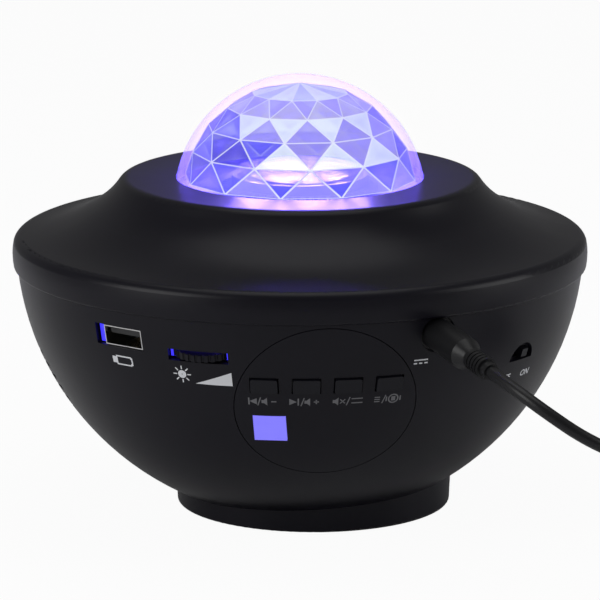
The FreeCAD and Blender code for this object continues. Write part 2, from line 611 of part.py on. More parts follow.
def build_lens_drive():
    """The deck, the lens that turns on its collar, and the motor that drives it."""
    deck = turned("deck_turned", [
        ("collar_bore", "deck_top - deck_thickness"),
        ("deck_radius", "deck_top - deck_thickness"),
        ("deck_radius", "deck_top"),
        ("collar_radius", "deck_top"),
        ("collar_radius", "deck_top + collar_height"),
        ("collar_bore", "deck_top + collar_height"),
    ])
    under = value("deck_bottom")
    motor_y = value("gear_distance")
    holes = [rod("deck_shaft_hole", "shaft_radius + shaft_clearance", "3 * deck_thickness",
                 shifted(0, motor_y, under - value("deck_thickness")))]
    screws = []
    head = "screw_head_height"
    for index, (x, y) in enumerate(around(3, value("deck_screw_ring"), 30)):
        holes.append(rod("deck_hole_%d" % index, "screw_radius + screw_gap", "3 * deck_thickness",
                         shifted(x, y, under - value("deck_thickness"))))
        shank = rod("deck_shank_%d" % index, "screw_radius", "deck_thickness + 1.6", shifted(x, y, under))
        cap = rod("deck_head_%d" % index, "screw_head", head, shifted(x, y, under - value(head)))
        screws.append(joined("deck_screw_%d" % index, [shank, cap]))
    node("lens_deck", cut("deck_drilled", deck, joined("deck_holes", holes)))
    node("deck_screws", grouped("deck_screw_group", screws))

    rim = toothed("lens_rim", value("ring_teeth"), 0, shifted(z=value("gear_floor")))
    hub = rod("lens_hub", "lens_radius + lens_rim", "lens_floor - gear_floor", shifted(z=value("gear_floor")))
    seat_floor = value("lens_floor - lens_seat")
    seat = rod("lens_seat", "lens_radius + lens_gap", "lens_floor", shifted(z=seat_floor))
    bore = rod("lens_bore", "collar_radius + running_gap", "lens_floor", shifted(z=value("deck_bottom")))
    wheel = joined("lens_wheel", [rim, hub])
    node("lens_gear", cut("lens_wheel_bored", wheel, joined("lens_bores", [seat, bore])))

    plate = rod("lens_plate", "lens_radius", "lens_thickness", shifted(z=value("lens_floor")))
    lip = rod("lens_lip", "lens_radius", "lens_seat", shifted(z=seat_floor))
    hollow = rod("lens_hollow", "collar_radius + lens_seat", "lens_seat", shifted(z=seat_floor))
    ripples = []
    step = value("lens_radius") / (value("ripple_count") + 1)
    top = value("lens_floor + lens_thickness")
    for index in range(int(value("ripple_count"))):
        ripple = doc.addObject("Part::Torus", "lens_ripple_%d" % index)
        ripple.Radius1 = step * (index + 1)
        bind(ripple, Radius2="2 * lens_ripple")
        ripple.Placement = shifted(z=top - value("lens_ripple"))
        ripples.append(ripple)
    solid = joined("lens_solid", [plate, lip] + ripples)
    node("effect_lens", cut("lens_cleared", solid, hollow))

    axis = shifted(0, motor_y, value("gear_floor"))
    half_tooth = 180.0 / value("pinion_teeth")
    aligned = (90.0 * value("ring_teeth") / 360.0) % 1.0
    turn = 90.0 + half_tooth - aligned * 360.0 / value("pinion_teeth")
    pinion = toothed("pinion_rim", value("pinion_teeth"), turn, axis)
    socket = rod("pinion_bore", "shaft_radius", "3 * gear_width", axis * shifted(z=-value("gear_width")))
    node("drive_pinion", cut("pinion_bored", pinion, socket))
    shaft_foot = shifted(0, motor_y, under - value("shaft_seat"))
    node("motor_shaft", rod("shaft", "shaft_radius", "shaft_seat + gear_floor - deck_bottom + gear_width",
                            shaft_foot))
    can = rod("motor_can", "motor_radius", "motor_height", shifted(0, motor_y, under - value("motor_height")))
    bearing = rod("motor_bearing", "shaft_radius + running_gap", "motor_height",
                  shifted(0, motor_y, under - value("shaft_seat + rest_gap")))
    node("lens_motor", cut("motor_bored", can, bearing))


def build_lamp():
    """The lamp board under the deck, its chips and the laser in the middle."""
    under = value("deck_bottom")
    floor = shifted(z=under)
    node("led_board", rod("lamp_board", "led_board_radius", "board_thickness",
                          shifted(z=under - value("board_thickness"))))
    chips = []
    for index, (x, y) in enumerate(around(4, value("emitter_ring"), 45)):
        chip = block("chip_%d" % index, "emitter_width", "emitter_width", "emitter_height",
                     floor * shifted(x, y))
        bead = ball("bead_%d" % index, "emitter_width * 0.4",
                    floor * shifted(x, y, value("emitter_height")))
        bead.Angle1 = 0
        chips.append(joined("lamp_chip_%d" % index, [chip, bead]))
    node("led_emitters", grouped("lamp_chips", chips))
    node("laser_module", turned("laser_body", [
        ("0", "deck_bottom"),
        ("laser_radius", "deck_bottom"),
        ("laser_radius", "deck_bottom + laser_height"),
        ("laser_radius - laser_dish", "deck_bottom + laser_height"),
        ("laser_radius - 2 * laser_dish", "deck_bottom + laser_height - laser_dish"),
        ("0", "deck_bottom + laser_height - laser_dish"),
    ]))


def bowl_shell(name, outer, inner, place, radius):
    """The part of a spherical wall that lies inside a round plug."""
    wall = cut(name + "_wall", ball(name + "_outer", outer), ball(name + "_inner", inner))
    plug = rod(name + "_plug", radius, "bowl_radius", place * shifted(z=-value("bowl_radius / 2")))
    return overlap(name, wall, plug)


def key_azimuths():
    """Azimuth of each key, from left to right."""
    reach = value("bowl_radius") * math.cos(math.radians(value("key_drop")))
    return [math.degrees(math.asin((index - 1.5) * value("key_pitch") / reach)) for index in range(4)]


def build_key(name, index, azimuth, place):
    """One key with its flange and stem, its opening, and the small switch under it."""
    key_place = on_bowl(azimuth, value("key_drop"))
    opening = block("key_window_%d" % index, "key_width + 2 * key_gap", "key_height + 2 * key_gap",
                    "2 * cut_reach", key_place * shifted(z=-value("cut_reach")))
    across = (index - 1.5) * value("key_pitch")
    up = value("bowl_radius") * math.sin(math.radians(value("panel_drop") - value("key_drop")))
    sag = value("bowl_radius") - math.sqrt(value("bowl_radius") ** 2 - across ** 2 - up ** 2)
    cap_depth = "key_proud + panel_wall + rest_gap"
    cap_foot = key_place * shifted(z=-value("panel_wall + rest_gap"))
    cap = block("key_cap_%d" % index, "key_width", "key_height", cap_depth, cap_foot)
    soft = rounded("key_soft_%d" % index, cap, UPRIGHT_EDGES, "key_soft")
    flange = block("key_flange_%d" % index, "key_width + 2 * key_gap", "key_height + 2 * key_flange",
                   "key_back", cap_foot * shifted(z=-value("key_back")))
    stem_end = value("board_depth - tact_height - tact_gap") - sag
    stem = rod("key_stem_%d" % index, "key_stem", "%.3f - panel_wall - rest_gap - key_back / 2" % stem_end,
               key_place * shifted(z=-stem_end))
    node(name, joined("key_%d" % index, [soft, flange, stem]))
    tact = block("tact_%d" % index, "tact_width", "tact_width", "tact_height",
                 place * shifted(across, up, -value("board_depth")))
    return opening, tact


def panel_posts(place):
    """The four posts behind the panel, which carry its board."""
    posts = []
    across = value("panel_board_width / 2 - post_inset")
    up = value("panel_board_height / 2 - post_inset_up")
    for index, (side, end) in enumerate(((-1, -1), (1, -1), (-1, 1), (1, 1))):
        post = rod("panel_post_rod_%d" % index, "post_radius", "board_depth - panel_wall / 2",
                   place * shifted(side * across, end * up, -value("board_depth")))
        limit = ball("panel_post_limit_%d" % index, "bowl_radius - panel_wall / 2")
        posts.append(overlap("panel_post_%d" % index, post, limit))
    return posts


def build_window():
    """The infrared window, the receiver behind it, and the opening that they need."""
    place = on_bowl(value("window_azimuth"), value("window_drop"))
    node("ir_window", block("window_plate", "window_width", "window_width", "panel_wall",
                            place * shifted(z=-value("panel_wall + window_sink"))))
    spot = place * shifted(0, value("receiver_rise"), -value("receiver_depth"))
    case = block("receiver_case", "receiver_width", "receiver_width", "receiver_thickness", spot)
    eye = ball("receiver_lens", "receiver_eye", spot * shifted(z=value("receiver_thickness - rest_gap")))
    pitch = value("lead_pitch")
    leads = [block("receiver_lead_%d" % index, "lead_width", "lead_width", "lead_length",
                   spot * shifted((index - 1) * pitch, 0, value("lead_root - lead_length")))
             for index in range(3)]
    node("ir_receiver", joined("receiver", [case, eye] + leads))
    return block("window_opening", "window_width + 2 * window_sink", "window_width + 2 * window_sink",
                 "2 * cut_reach", place * shifted(z=-value("cut_reach")))


def build_panel():
    """The round control panel, its four keys, the window and the board behind it."""
    place = on_bowl(0, value("panel_drop"))
    disc = bowl_shell("panel_disc", "bowl_radius", "bowl_radius - panel_wall", place, "panel_radius")
    names = ("button_previous", "button_next", "button_mode", "button_light")
    openings = []
    tacts = []
    for index, (name, azimuth) in enumerate(zip(names, key_azimuths())):
        opening, tact = build_key(name, index, azimuth, place)
        openings.append(opening)
        tacts.append(tact)
    openings.append(build_window())
    pierced = cut("panel_pierced", disc, joined("panel_openings", openings))
    node("control_panel", joined("panel_whole", [pierced] + panel_posts(place)))
    node("panel_board", block("panel_circuit", "panel_board_width", "panel_board_height",
                              "board_thickness", place * shifted(z=-value("board_depth + board_thickness"))))
    node("tact_switches", grouped("tact_group", tacts))


def build_sockets():
    """The charging socket, the power jack and the power switch."""
    usb = on_bowl(value("usb_azimuth"), value("usb_drop"), value("usb_sink"))
    back = usb * shifted(z=-value("usb_depth"))
    inside = back * shifted(z=value("usb_back"))
    outer = block("usb_outer", "usb_width", "usb_height", "usb_depth", back)
    inner = block("usb_inner", "usb_width - 2 * usb_wall", "usb_height - 2 * usb_wall", "usb_depth", inside)
    node("usb_socket", cut("usb_shell", outer, inner))
    node("usb_tongue", block("usb_tongue_bar", "tongue_width", "tongue_height", "usb_depth - 3 * usb_back",
                             inside * shifted(y=value("tongue_rise"))))

    jack = on_bowl(value("jack_azimuth"), value("jack_drop"))
    barrel = rod("jack_barrel", "jack_radius", "jack_length",
                 jack * shifted(z=-value("jack_recess + jack_length")))
    bottom = jack * shifted(z=-value("jack_recess + barrel_length + rest_gap"))
    bore = rod("jack_bore", "barrel_radius + plug_gap", "jack_length", bottom)
    node("dc_jack", cut("jack_bored", barrel, bore))
    node("dc_jack_pin", rod("jack_pin", "pin_radius", "barrel_length - pin_radius", bottom))

    switch = on_bowl(value("switch_azimuth"), value("switch_drop"))
    slider = switch * shifted(value("switch_travel / 2"), 0, -value("bowl_wall + knob_root"))
    plate = block("switch_plate", "slider_width", "slider_height", "slider_thickness",
                  slider * shifted(z=-value("slider_thickness")))
    knob = block("switch_knob", "knob_width", "knob_height", "bowl_wall + rest_gap", slider)
    node("power_switch_knob", joined("switch_slider", [plate, knob]))
    can_back = value("bowl_wall + knob_root + slider_thickness + rest_gap + can_depth")
    node("power_switch_body", block("switch_can", "can_width", "can_height", "can_depth",
                                    switch * shifted(z=-can_back)))


def build_wheel():
    """The brightness wheel, notched at its edge, and the control that it turns."""
    place = on_bowl(value("wheel_azimuth"), value("wheel_drop"))
    axis = place * Placement(Vector(0, value("wheel_width") / 2, value("wheel_proud - wheel_radius")),
                             Rotation(Vector(1, 0, 0), 90))
    body = doc.addObject("PartDesign::Body", "wheel_turned")
    face = attached_sketch(body, "XY_Plane", "wheel_face")
    face.addGeometry(Part.Circle(Vector(), Vector(0, 0, 1), value("wheel_radius")), False)
    face.addGeometry(Part.Circle(Vector(), Vector(0, 0, 1), value("wheel_post + running_gap")), False)
    for index, formula in enumerate(("wheel_radius", "wheel_post + running_gap")):
        face.addConstraint(Sketcher.Constraint("Coincident", index, 3, -1, 1))
        rule = face.addConstraint(Sketcher.Constraint("Radius", index, value(formula)))
        face.setExpression("Constraints[%d]" % rule, linked(formula))
    pad = body.newObject("PartDesign::Pad", "wheel_pad")
    pad.Profile = face
    pad.setExpression("Length", linked("wheel_width"))
    notch = attached_sketch(body, "XY_Plane", "wheel_notch")
    notch.addGeometry(Part.Circle(Vector(value("wheel_radius"), 0, 0), Vector(0, 0, 1), value("wheel_notch")),
                      False)
    rule = notch.addConstraint(Sketcher.Constraint("DistanceX", -1, 1, 0, 3, value("wheel_radius")))
    notch.setExpression("Constraints[%d]" % rule, linked("wheel_radius"))
    notch.addConstraint(Sketcher.Constraint("PointOnObject", 0, 3, -1))
    rule = notch.addConstraint(Sketcher.Constraint("Radius", 0, value("wheel_notch")))
    notch.setExpression("Constraints[%d]" % rule, linked("wheel_notch"))
    doc.recompute()
    pocket = body.newObject("PartDesign::Pocket", "wheel_pocket")
    pocket.Profile = notch
    pocket.Type = "ThroughAll"
    pocket.Reversed = True
    doc.recompute()
    pattern = body.newObject("PartDesign::PolarPattern", "wheel_pattern")
    pattern.Originals = [pocket]
    pattern.Axis = (face, ["N_Axis"])
    pattern.Angle = 360
    pattern.Occurrences = int(value("wheel_notches"))
    body.Tip = pattern
    body.Placement = axis
    node("brightness_wheel", body)

    post_place = place * Placement(Vector(0, 0, value("wheel_proud - wheel_radius")),
                                   Rotation(Vector(1, 0, 0), 90))
    under = value("wheel_width") / 2 + value("rest_gap")
    case = block("dimmer_case", "dimmer_width", "dimmer_width", "dimmer_height",
                 post_place * shifted(z=under))
    post = rod("dimmer_post", "wheel_post", "wheel_width + 2 * rest_gap + dimmer_height / 2",
               post_place * shifted(z=-under))
    node("dimmer_body", joined("dimmer", [case, post]))


def trimmed(name, piece):
    """A piece inside the bowl, cut off where it would break through the wall."""
    return overlap(name, piece, ball(name + "_limit", "bowl_radius - wall_skin"))


def sleeve(name, width, height, reach, place):
    """A rectangular pocket behind the wall that holds a socket or a switch."""
    outside = block(name + "_out", width + " + 2 * sleeve_wall", height + " + 2 * sleeve_wall", reach,
                    place * shifted(z=-value(reach)))
    inside = block(name + "_in", width + " + 2 * sleeve_gap", height + " + 2 * sleeve_gap",
                   "4 * (%s)" % reach, place * shifted(z=-2 * value(reach)))
    return trimmed(name, cut(name + "_tube", outside, inside))


def bowl_outline():
    """The bowl's wall in section, with its floor and the tongue inside the lid."""
    inside = "(bowl_radius - bowl_wall)"
    rim = "(bowl_centre - rim_height)"
    tongue = "lid_inside - seam_gap"
    return [
        ("0", "cover_top"),
        ("sqrt(bowl_radius ^ 2 - (bowl_centre - cover_top) ^ 2)", "cover_top"),
        ("sqrt(bowl_radius ^ 2 - %s ^ 2)" % rim, "rim_height"),
        (tongue, "rim_height"),
        (tongue, "rim_height + seam_overlap"),
        ("sqrt(%s ^ 2 - %s ^ 2)" % (inside, rim), "rim_height + seam_overlap"),
        ("sqrt(%s ^ 2 - %s ^ 2)" % (inside, rim), "rim_height"),
        ("sqrt(%s ^ 2 - (bowl_centre - cavity_floor) ^ 2)" % inside, "cavity_floor"),
        ("0", "cavity_floor"),
    ], {1: ("bowl_radius", 1), 6: ("bowl_radius - bowl_wall", -1)}


def wall_additions():
    """What is moulded inside the bowl: bosses, sleeves and the speaker's ring."""
    pieces = []
    x_reach = value("main_board_length / 2 - boss_inset")
    y_reach = value("main_board_width / 2 - boss_inset")
    for index, (side, end) in enumerate(((-1, -1), (1, -1), (1, 1), (-1, 1))):
        foot = shifted(value("foot_offset") + side * x_reach, end * y_reach,
                       value("cavity_floor - boss_root"))
        boss = rod("boss_%d" % index, "boss_radius", "boss_height + boss_root", foot)
        bore = rod("boss_bore_%d" % index, "screw_radius + screw_gap", "boss_height",
                   foot * shifted(z=2 * value("boss_root")))
        pieces.append(cut("boss_bored_%d" % index, boss, bore))
    grille = on_bowl(value("grille_azimuth"), value("grille_drop"))
    ring_place = grille * shifted(z=-value("speaker_front"))
    tube = rod("speaker_ring_out", "speaker_radius + ring_lip", "speaker_front", ring_place)
    hollow = rod("speaker_ring_in", "speaker_radius - ring_seat", "3 * speaker_front",
                 ring_place * shifted(z=-value("speaker_front")))
    pieces.append(trimmed("speaker_ring", cut("speaker_ring_tube", tube, hollow)))
    usb = on_bowl(value("usb_azimuth"), value("usb_drop"))
    pieces.append(sleeve("usb_sleeve", "usb_width", "usb_height", "usb_sleeve", usb))
    switch = on_bowl(value("switch_azimuth"), value("switch_drop"))
    pieces.append(sleeve("switch_sleeve", "can_width", "can_height", "switch_sleeve", switch))
    jack = on_bowl(value("jack_azimuth"), value("jack_drop"))
    jack_place = jack * shifted(z=-value("jack_sleeve"))
    tube = rod("jack_holder_out", "jack_radius + jack_wall", "jack_sleeve", jack_place)
    hollow = rod("jack_holder_in", "jack_radius + running_gap", "3 * jack_sleeve",
                 jack_place * shifted(z=-value("jack_sleeve")))
    pieces.append(trimmed("jack_holder", cut("jack_holder_tube", tube, hollow)))
    wheel = on_bowl(value("wheel_azimuth"), value("wheel_drop"))
    shelf_foot = value("wheel_proud - wheel_radius + dimmer_width / 2")
    shelf_drop = value("wheel_width / 2 + dimmer_height - shelf_height / 2")
    shelf = block("dimmer_shelf_block", "shelf_width", "shelf_height", "wheel_radius",
                  wheel * shifted(0, -shelf_drop, shelf_foot))
    pieces.append(trimmed("dimmer_shelf", shelf))
    return pieces


def socket_openings():
    """What is cut for the charging socket, the wheel, the jack and the power switch."""
    reach = value("cut_reach")
    usb = on_bowl(value("usb_azimuth"), value("usb_drop"))
    tools = [
        block("usb_opening", "usb_width + 2 * usb_gap + usb_slack", "usb_height + 2 * usb_gap",
              "usb_cut + cut_reach", usb * shifted(-value("usb_slack") / 2, 0, -value("usb_cut"))),
        block("usb_way", "usb_width + 2 * sleeve_gap", "usb_height + 2 * sleeve_gap", "2 * usb_depth",
              usb * shifted(z=-value("usb_depth"))),
    ]
    wheel = on_bowl(value("wheel_azimuth"), value("wheel_drop"))
    tools.append(block("wheel_slot", "wheel_slot_width", "wheel_slot_height", "2 * cut_reach",
                       wheel * shifted(z=-reach)))
    jack = on_bowl(value("jack_azimuth"), value("jack_drop"))
    tools.append(rod("jack_opening", "jack_hole", "jack_recess + cut_reach",
                     jack * shifted(z=-value("jack_recess"))))
    tools.append(rod("jack_way", "jack_radius + running_gap", "2 * jack_length",
                     jack * shifted(z=-value("jack_recess + jack_length"))))
    switch = on_bowl(value("switch_azimuth"), value("switch_drop"))
    scoop_foot = switch * shifted(z=-value("scoop_depth"))
    half = value("scoop_radius")
    scoop = overlap("switch_scoop",
                    rod("scoop_round", "scoop_radius", "scoop_depth + cut_reach",
                        scoop_foot * shifted(y=-value("scoop_drop"))),
                    block("scoop_flat", "4 * scoop_radius", "2 * scoop_radius", "scoop_depth + cut_reach",
                          scoop_foot * shifted(y=half - value("scoop_drop"))))
    tools.append(scoop)
    tools.append(block("switch_slot", "knob_width + switch_travel + 2 * knob_gap",
                       "knob_height + 2 * rest_gap", "2 * cut_reach", switch * shifted(z=-reach)))
    return tools


def grille_slots():
    """Two columns of slots, each as long as the round of the grille leaves room for."""
    grille = on_bowl(value("grille_azimuth"), value("grille_drop"))
    rows = int(value("grille_radius") / value("grille_pitch"))
    tools = []
    for row in range(-rows, rows + 1):
        up = row * value("grille_pitch")
        half = math.sqrt(value("grille_radius") ** 2 - up ** 2) - value("grille_rib") / 2
        for side in (-1, 1):
            across = side * (half + value("grille_rib")) / 2
            tools.append(block("grille_slot_%d_%d" % (row + rows, side + 1), "%.3f" % half, "grille_slot",
                               "3 * cut_reach", grille * shifted(across, up, -2 * value("cut_reach"))))
    return tools


def wall_openings():
    """Every opening that is cut through or into the bowl."""
    panel = on_bowl(0, value("panel_drop"))
    tools = [
        bowl_shell("panel_recess", "bowl_radius + wall_skin", "bowl_radius - panel_wall - panel_seat", panel,
                   "panel_radius + panel_gap"),
        rod("panel_through", "panel_radius - panel_ledge", "4 * cut_reach",
            panel * shifted(z=-3 * value("cut_reach"))),
    ]
    tools += socket_openings() + grille_slots()
    foot = shifted(x=value("foot_offset"))
    tools.append(rod("cover_recess", "cover_radius + cover_gap", "2 * cover_top",
                     foot * shifted(z=-value("cover_top"))))
    tools.append(rod("access_opening", "access_radius", "cavity_floor + access_rise", foot))
    for index, (x, y) in enumerate(around(4, value("cover_screw_ring"), 45)):
        tools.append(rod("cover_bore_%d" % index, "screw_radius + screw_gap",
                         "cavity_floor - bore_cap - foot_lift", foot * shifted(x, y, value("foot_lift"))))
    return tools


def build_bowl():
    """The lower housing: a spherical bowl on an offset round foot."""
    corners, arcs = bowl_outline()
    shell = turned("bowl_shell", corners, arcs)
    space = turned("bowl_space", [corners[8], corners[7], corners[6], ("0", "rim_height")],
                   {1: ("bowl_radius - bowl_wall", 1)})
    foot = turned("foot_solid", [
        ("0", "foot_lift"),
        ("foot_radius - foot_taper - 0.8", "foot_lift"),
        ("foot_radius - foot_taper", "foot_lift + 0.8"),
        ("foot_radius", "foot_lift + foot_height"),
        ("0", "foot_lift + foot_height"),
    ], {1: ("0.8", 1)}, shifted(x=value("foot_offset")))
    whole = joined("bowl_whole", [shell, cut("foot_ring", foot, space)] + wall_additions())
    node("lower_housing", cut("bowl_cut", whole, joined("bowl_openings", wall_openings())))


def build_bottom():
    """The bottom cover with its screws and pads, and the main board above it."""
    foot = shifted(x=value("foot_offset"))
    base = value("cover_top - cover_thickness")
    plate = rod("cover_plate", "cover_radius", "cover_thickness", foot * shifted(z=base))
    bores = []
    screws = []
    for index, (x, y) in enumerate(around(4, value("cover_screw_ring"), 45)):
        spot = foot * shifted(x, y, base)
        bores.append(rod("cover_hole_%d" % index, "screw_radius + screw_gap", "2 * cover_thickness", spot))
        bores.append(rod("cover_sink_%d" % index, "screw_head + sink_gap",
                         "screw_head_height + cover_thickness", spot * shifted(z=-value("cover_thickness"))))
        shank = rod("cover_shank_%d" % index, "screw_radius",
                    "cover_thickness + bowl_floor - 2 * bore_cap", spot)
        head = rod("cover_head_%d" % index, "screw_head", "screw_head_height", spot)
        screws.append(joined("cover_screw_%d" % index, [shank, head]))
    node("bottom_cover", cut("cover_drilled", plate, joined("cover_holes", bores)))
    node("cover_screws", grouped("cover_screw_group", screws))
    pads = [rod("pad_%d" % index, "pad_radius", "pad_height", foot * shifted(x, y))
            for index, (x, y) in enumerate(around(4, value("pad_ring"), 45))]
    node("foot_pads", grouped("pad_group", pads))

    board_place = foot * shifted(z=value("board_floor"))
    board = block("board_blank", "main_board_length", "main_board_width", "board_thickness", board_place)
    top = board_place * shifted(z=value("board_thickness"))
    aside = value("capacitor_place")
    rise = value("capacitor_radius")
    chips = [block("board_chip", "chip_width", "chip_width", "chip_height",
                   top * shifted(-value("chip_place"), rise)),
             rod("board_can_0", "capacitor_radius", "capacitor_height", top * shifted(aside, -2 * rise)),
             rod("board_can_1", "capacitor_radius", "capacitor_height", top * shifted(aside, rise))]
    holes = []
    board_screws = []
    x_reach = value("main_board_length / 2 - boss_inset")
    y_reach = value("main_board_width / 2 - boss_inset")
    for index, (side, end) in enumerate(((-1, -1), (1, -1), (1, 1), (-1, 1))):
        spot = board_place * shifted(side * x_reach, end * y_reach)
        holes.append(rod("board_hole_%d" % index, "screw_radius + screw_gap", "3 * board_thickness",
                         spot * shifted(z=-value("board_thickness"))))
        shank = rod("board_shank_%d" % index, "screw_radius", "board_screw_depth + board_thickness",
                    spot * shifted(z=-value("board_screw_depth")))
        head = rod("board_head_%d" % index, "screw_head", "screw_head_height",
                   spot * shifted(z=value("board_thickness")))
        board_screws.append(joined("board_screw_%d" % index, [shank, head]))
    drilled = cut("board_drilled", board, joined("board_holes", holes))
    node("main_board", joined("board_fitted", [drilled] + chips))
    node("board_screws", grouped("board_screw_group", board_screws))


def build_speaker():
    """The speaker behind the grille: frame, cone and magnet."""
    front = on_bowl(value("grille_azimuth"), value("grille_drop"), value("speaker_front"))
    back = front * shifted(z=-value("basket_height"))
    node("speaker_frame", turned("speaker_basket", [
        ("magnet_radius - basket_lap", "basket_lap"),
        ("magnet_radius", "basket_lap"),
        ("speaker_radius - basket_lap", "basket_height - basket_rim"),
        ("speaker_radius", "basket_height - basket_rim"),
        ("speaker_radius", "basket_height"),
        ("speaker_radius - surround", "basket_height"),
        ("magnet_radius - basket_lap", "basket_lap + basket_wall"),
    ], None, back))
    node("speaker_cone", turned("speaker_paper", [
        ("0", "cap_hollow"),
        ("cap_radius", "cap_edge"),
        ("cap_radius", "cone_back"),
        ("speaker_radius - surround - basket_lap", "basket_height - cone_thickness"),
        ("speaker_radius - surround - basket_lap", "basket_height"),
        ("cap_join_radius", "cap_join"),
        ("0", "cap_top"),
    ], None, back))
    node("speaker_magnet", rod("magnet", "magnet_radius", "speaker_depth - basket_height",
                               front * shifted(z=value("basket_lap - speaker_depth"))))


def solid_feature(name, shape):
    """A piece whose shape is made in code."""
    item = doc.addObject("Part::Feature", name)
    item.Shape = shape
    item.Placement = Placement()
    return item


def cord_points():
    """The free cord's route: out of the plug, in a sag to the floor, to the coil."""
    jack = on_bowl(value("jack_azimuth"), value("jack_drop"))
    out = jack.Rotation.multVec(Vector(0, 0, 1))
    start = jack.multVec(Vector(0, 0, value("plug_length")))
    floor = value("cord_radius + cord_lift")
    return [
        start,
        start + out * 11,
        Vector(53.6, -118.6, 54.2),
        Vector(64.95, -121.4, 46.5),
        Vector(78.3, -118.9, 40.2),
        Vector(93.0, -113.5, 30.5),
        Vector(107.0, -108.5, 19.5),
        Vector(121.0, -104.0, 10.0),
        Vector(136.0, -101.0, 3.8),
        Vector(151.0, value("cord_end_y"), floor),
        Vector(value("cord_end_x"), value("cord_end_y"), floor),
    ]


def rounded_route(points):
    """Straight runs joined by tangent arcs, as large as their runs allow."""
    edges = []
    radii = []
    at = points[0]
    for index in range(1, len(points) - 1):
        before = points[index - 1] - points[index]
        after = points[index + 1] - points[index]
        shorter = min(before.Length, after.Length)
        half_turn = (math.pi - before.getAngle(after)) / 2
        reach = 0.45 * shorter
        radii.append(reach / math.tan(half_turn))
        first = points[index] + before.normalize() * reach
        last = points[index] + after.normalize() * reach
        middle = (first + last) / 2
        weight = math.cos(half_turn)
        crown = (middle + points[index] * weight) / (1 + weight)
        edges.append(Part.LineSegment(at, first).toShape())
        edges.append(Part.Arc(first, crown, last).toShape())
        at = last
    edges.append(Part.LineSegment(at, points[-1]).toShape())
    return Part.Wire(edges), radii


def swept_tube(wire, start, direction):
    """A round tube of the cord's section along a wire."""
    section = Part.Wire(Part.makeCircle(value("cord_radius"), start, direction))
    return wire.makePipeShell([section], True, False)


def coil_point(turn):
    """Centre of the coiled cord after so many turns, as a point and two layers."""
    loops = value("coil_loops")
    low = value("cord_radius + cord_lift")
    centre_x = value("cord_end_x + coil_lead")
    centre_y = value("cord_end_y + coil_outer")
    inward = turn - loops
    ease = 0.25
    radius = value("coil_inner") + value("coil_pitch") * (math.sqrt(inward ** 2 + ease ** 2) - ease)
    radius += value("coil_outer") - (value("coil_inner") + value("coil_pitch")
                                     * (math.sqrt(loops ** 2 + ease ** 2) - ease))
    share = min(max(inward + 0.5, 0.0), 1.0)
    up = low + value("coil_rise") * share * share * (3 - 2 * share)
    angle = 2 * math.pi * turn - math.pi / 2
    return Vector(centre_x + radius * math.cos(angle), centre_y + radius * math.sin(angle), up)


def coil_heading(turn):
    """Direction of the coiled cord."""
    step = 0.0005
    return (coil_point(turn + step) - coil_point(turn - step)).normalize()


def biarc(start, start_heading, finish, finish_heading):
    """Two arcs that leave and arrive along the given directions."""
    span = finish - start
    both = start_heading + finish_heading
    share = 2 * (1 - start_heading.dot(finish_heading))
    along = span.dot(both)
    if share < 1e-9:
        reach = span.dot(span) / (4 * span.dot(finish_heading))
    else:
        reach = (-along + math.sqrt(along ** 2 + share * span.dot(span))) / share
    first = start + start_heading * reach
    second = finish - finish_heading * reach
    join = (first + second) / 2
    edges = []
    for a, corner, b in ((start, first, join), (join, second, finish)):
        middle = (a + b) / 2
        weight = (middle - a).Length / (corner - a).Length
        crown = (middle + corner * weight) / (1 + weight)
        edges.append(Part.Arc(a, crown, b).toShape())
    return edges


def coil_route():
    """The coil's centre line: a straight start, quarter turns, and a tail."""
    loops = int(value("coil_loops"))
    first = coil_point(0) - Vector(value("coil_lead"), 0, 0)
    edges = []
    lead = first + Vector(2 * value("cord_radius"), 0, 0)
    edges.append(Part.LineSegment(first, lead).toShape())
    at, along = lead, Vector(1, 0, 0)
    for quarter in range(1, 8 * loops + 1):
        point, heading = coil_point(quarter / 4), coil_heading(quarter / 4)
        edges += biarc(at, along, point, heading)
        at, along = point, heading
    low = value("usb_plug_height") / 2
    settle = Vector(at.x + value("tail_length"), at.y - value("tail_drift"), low)
    edges += biarc(at, along, settle, Vector(1, 0, 0))
    tail = settle + Vector(2 * value("cord_radius"), 0, 0)
    edges.append(Part.LineSegment(settle, tail).toShape())
    return Part.Wire(edges), first, tail


def self_gap(wire):
    """Least gap between two turns of a tube, measured on points of its centre line."""
    steps = 900
    points = wire.discretize(Number=steps)
    spacing = wire.Length / (steps - 1)
    skip = int(6 * value("cord_radius") / spacing) + 1
    least = min((points[a] - points[b]).Length
                for a in range(0, steps) for b in range(a + skip, steps))
    return least - 2 * value("cord_radius")


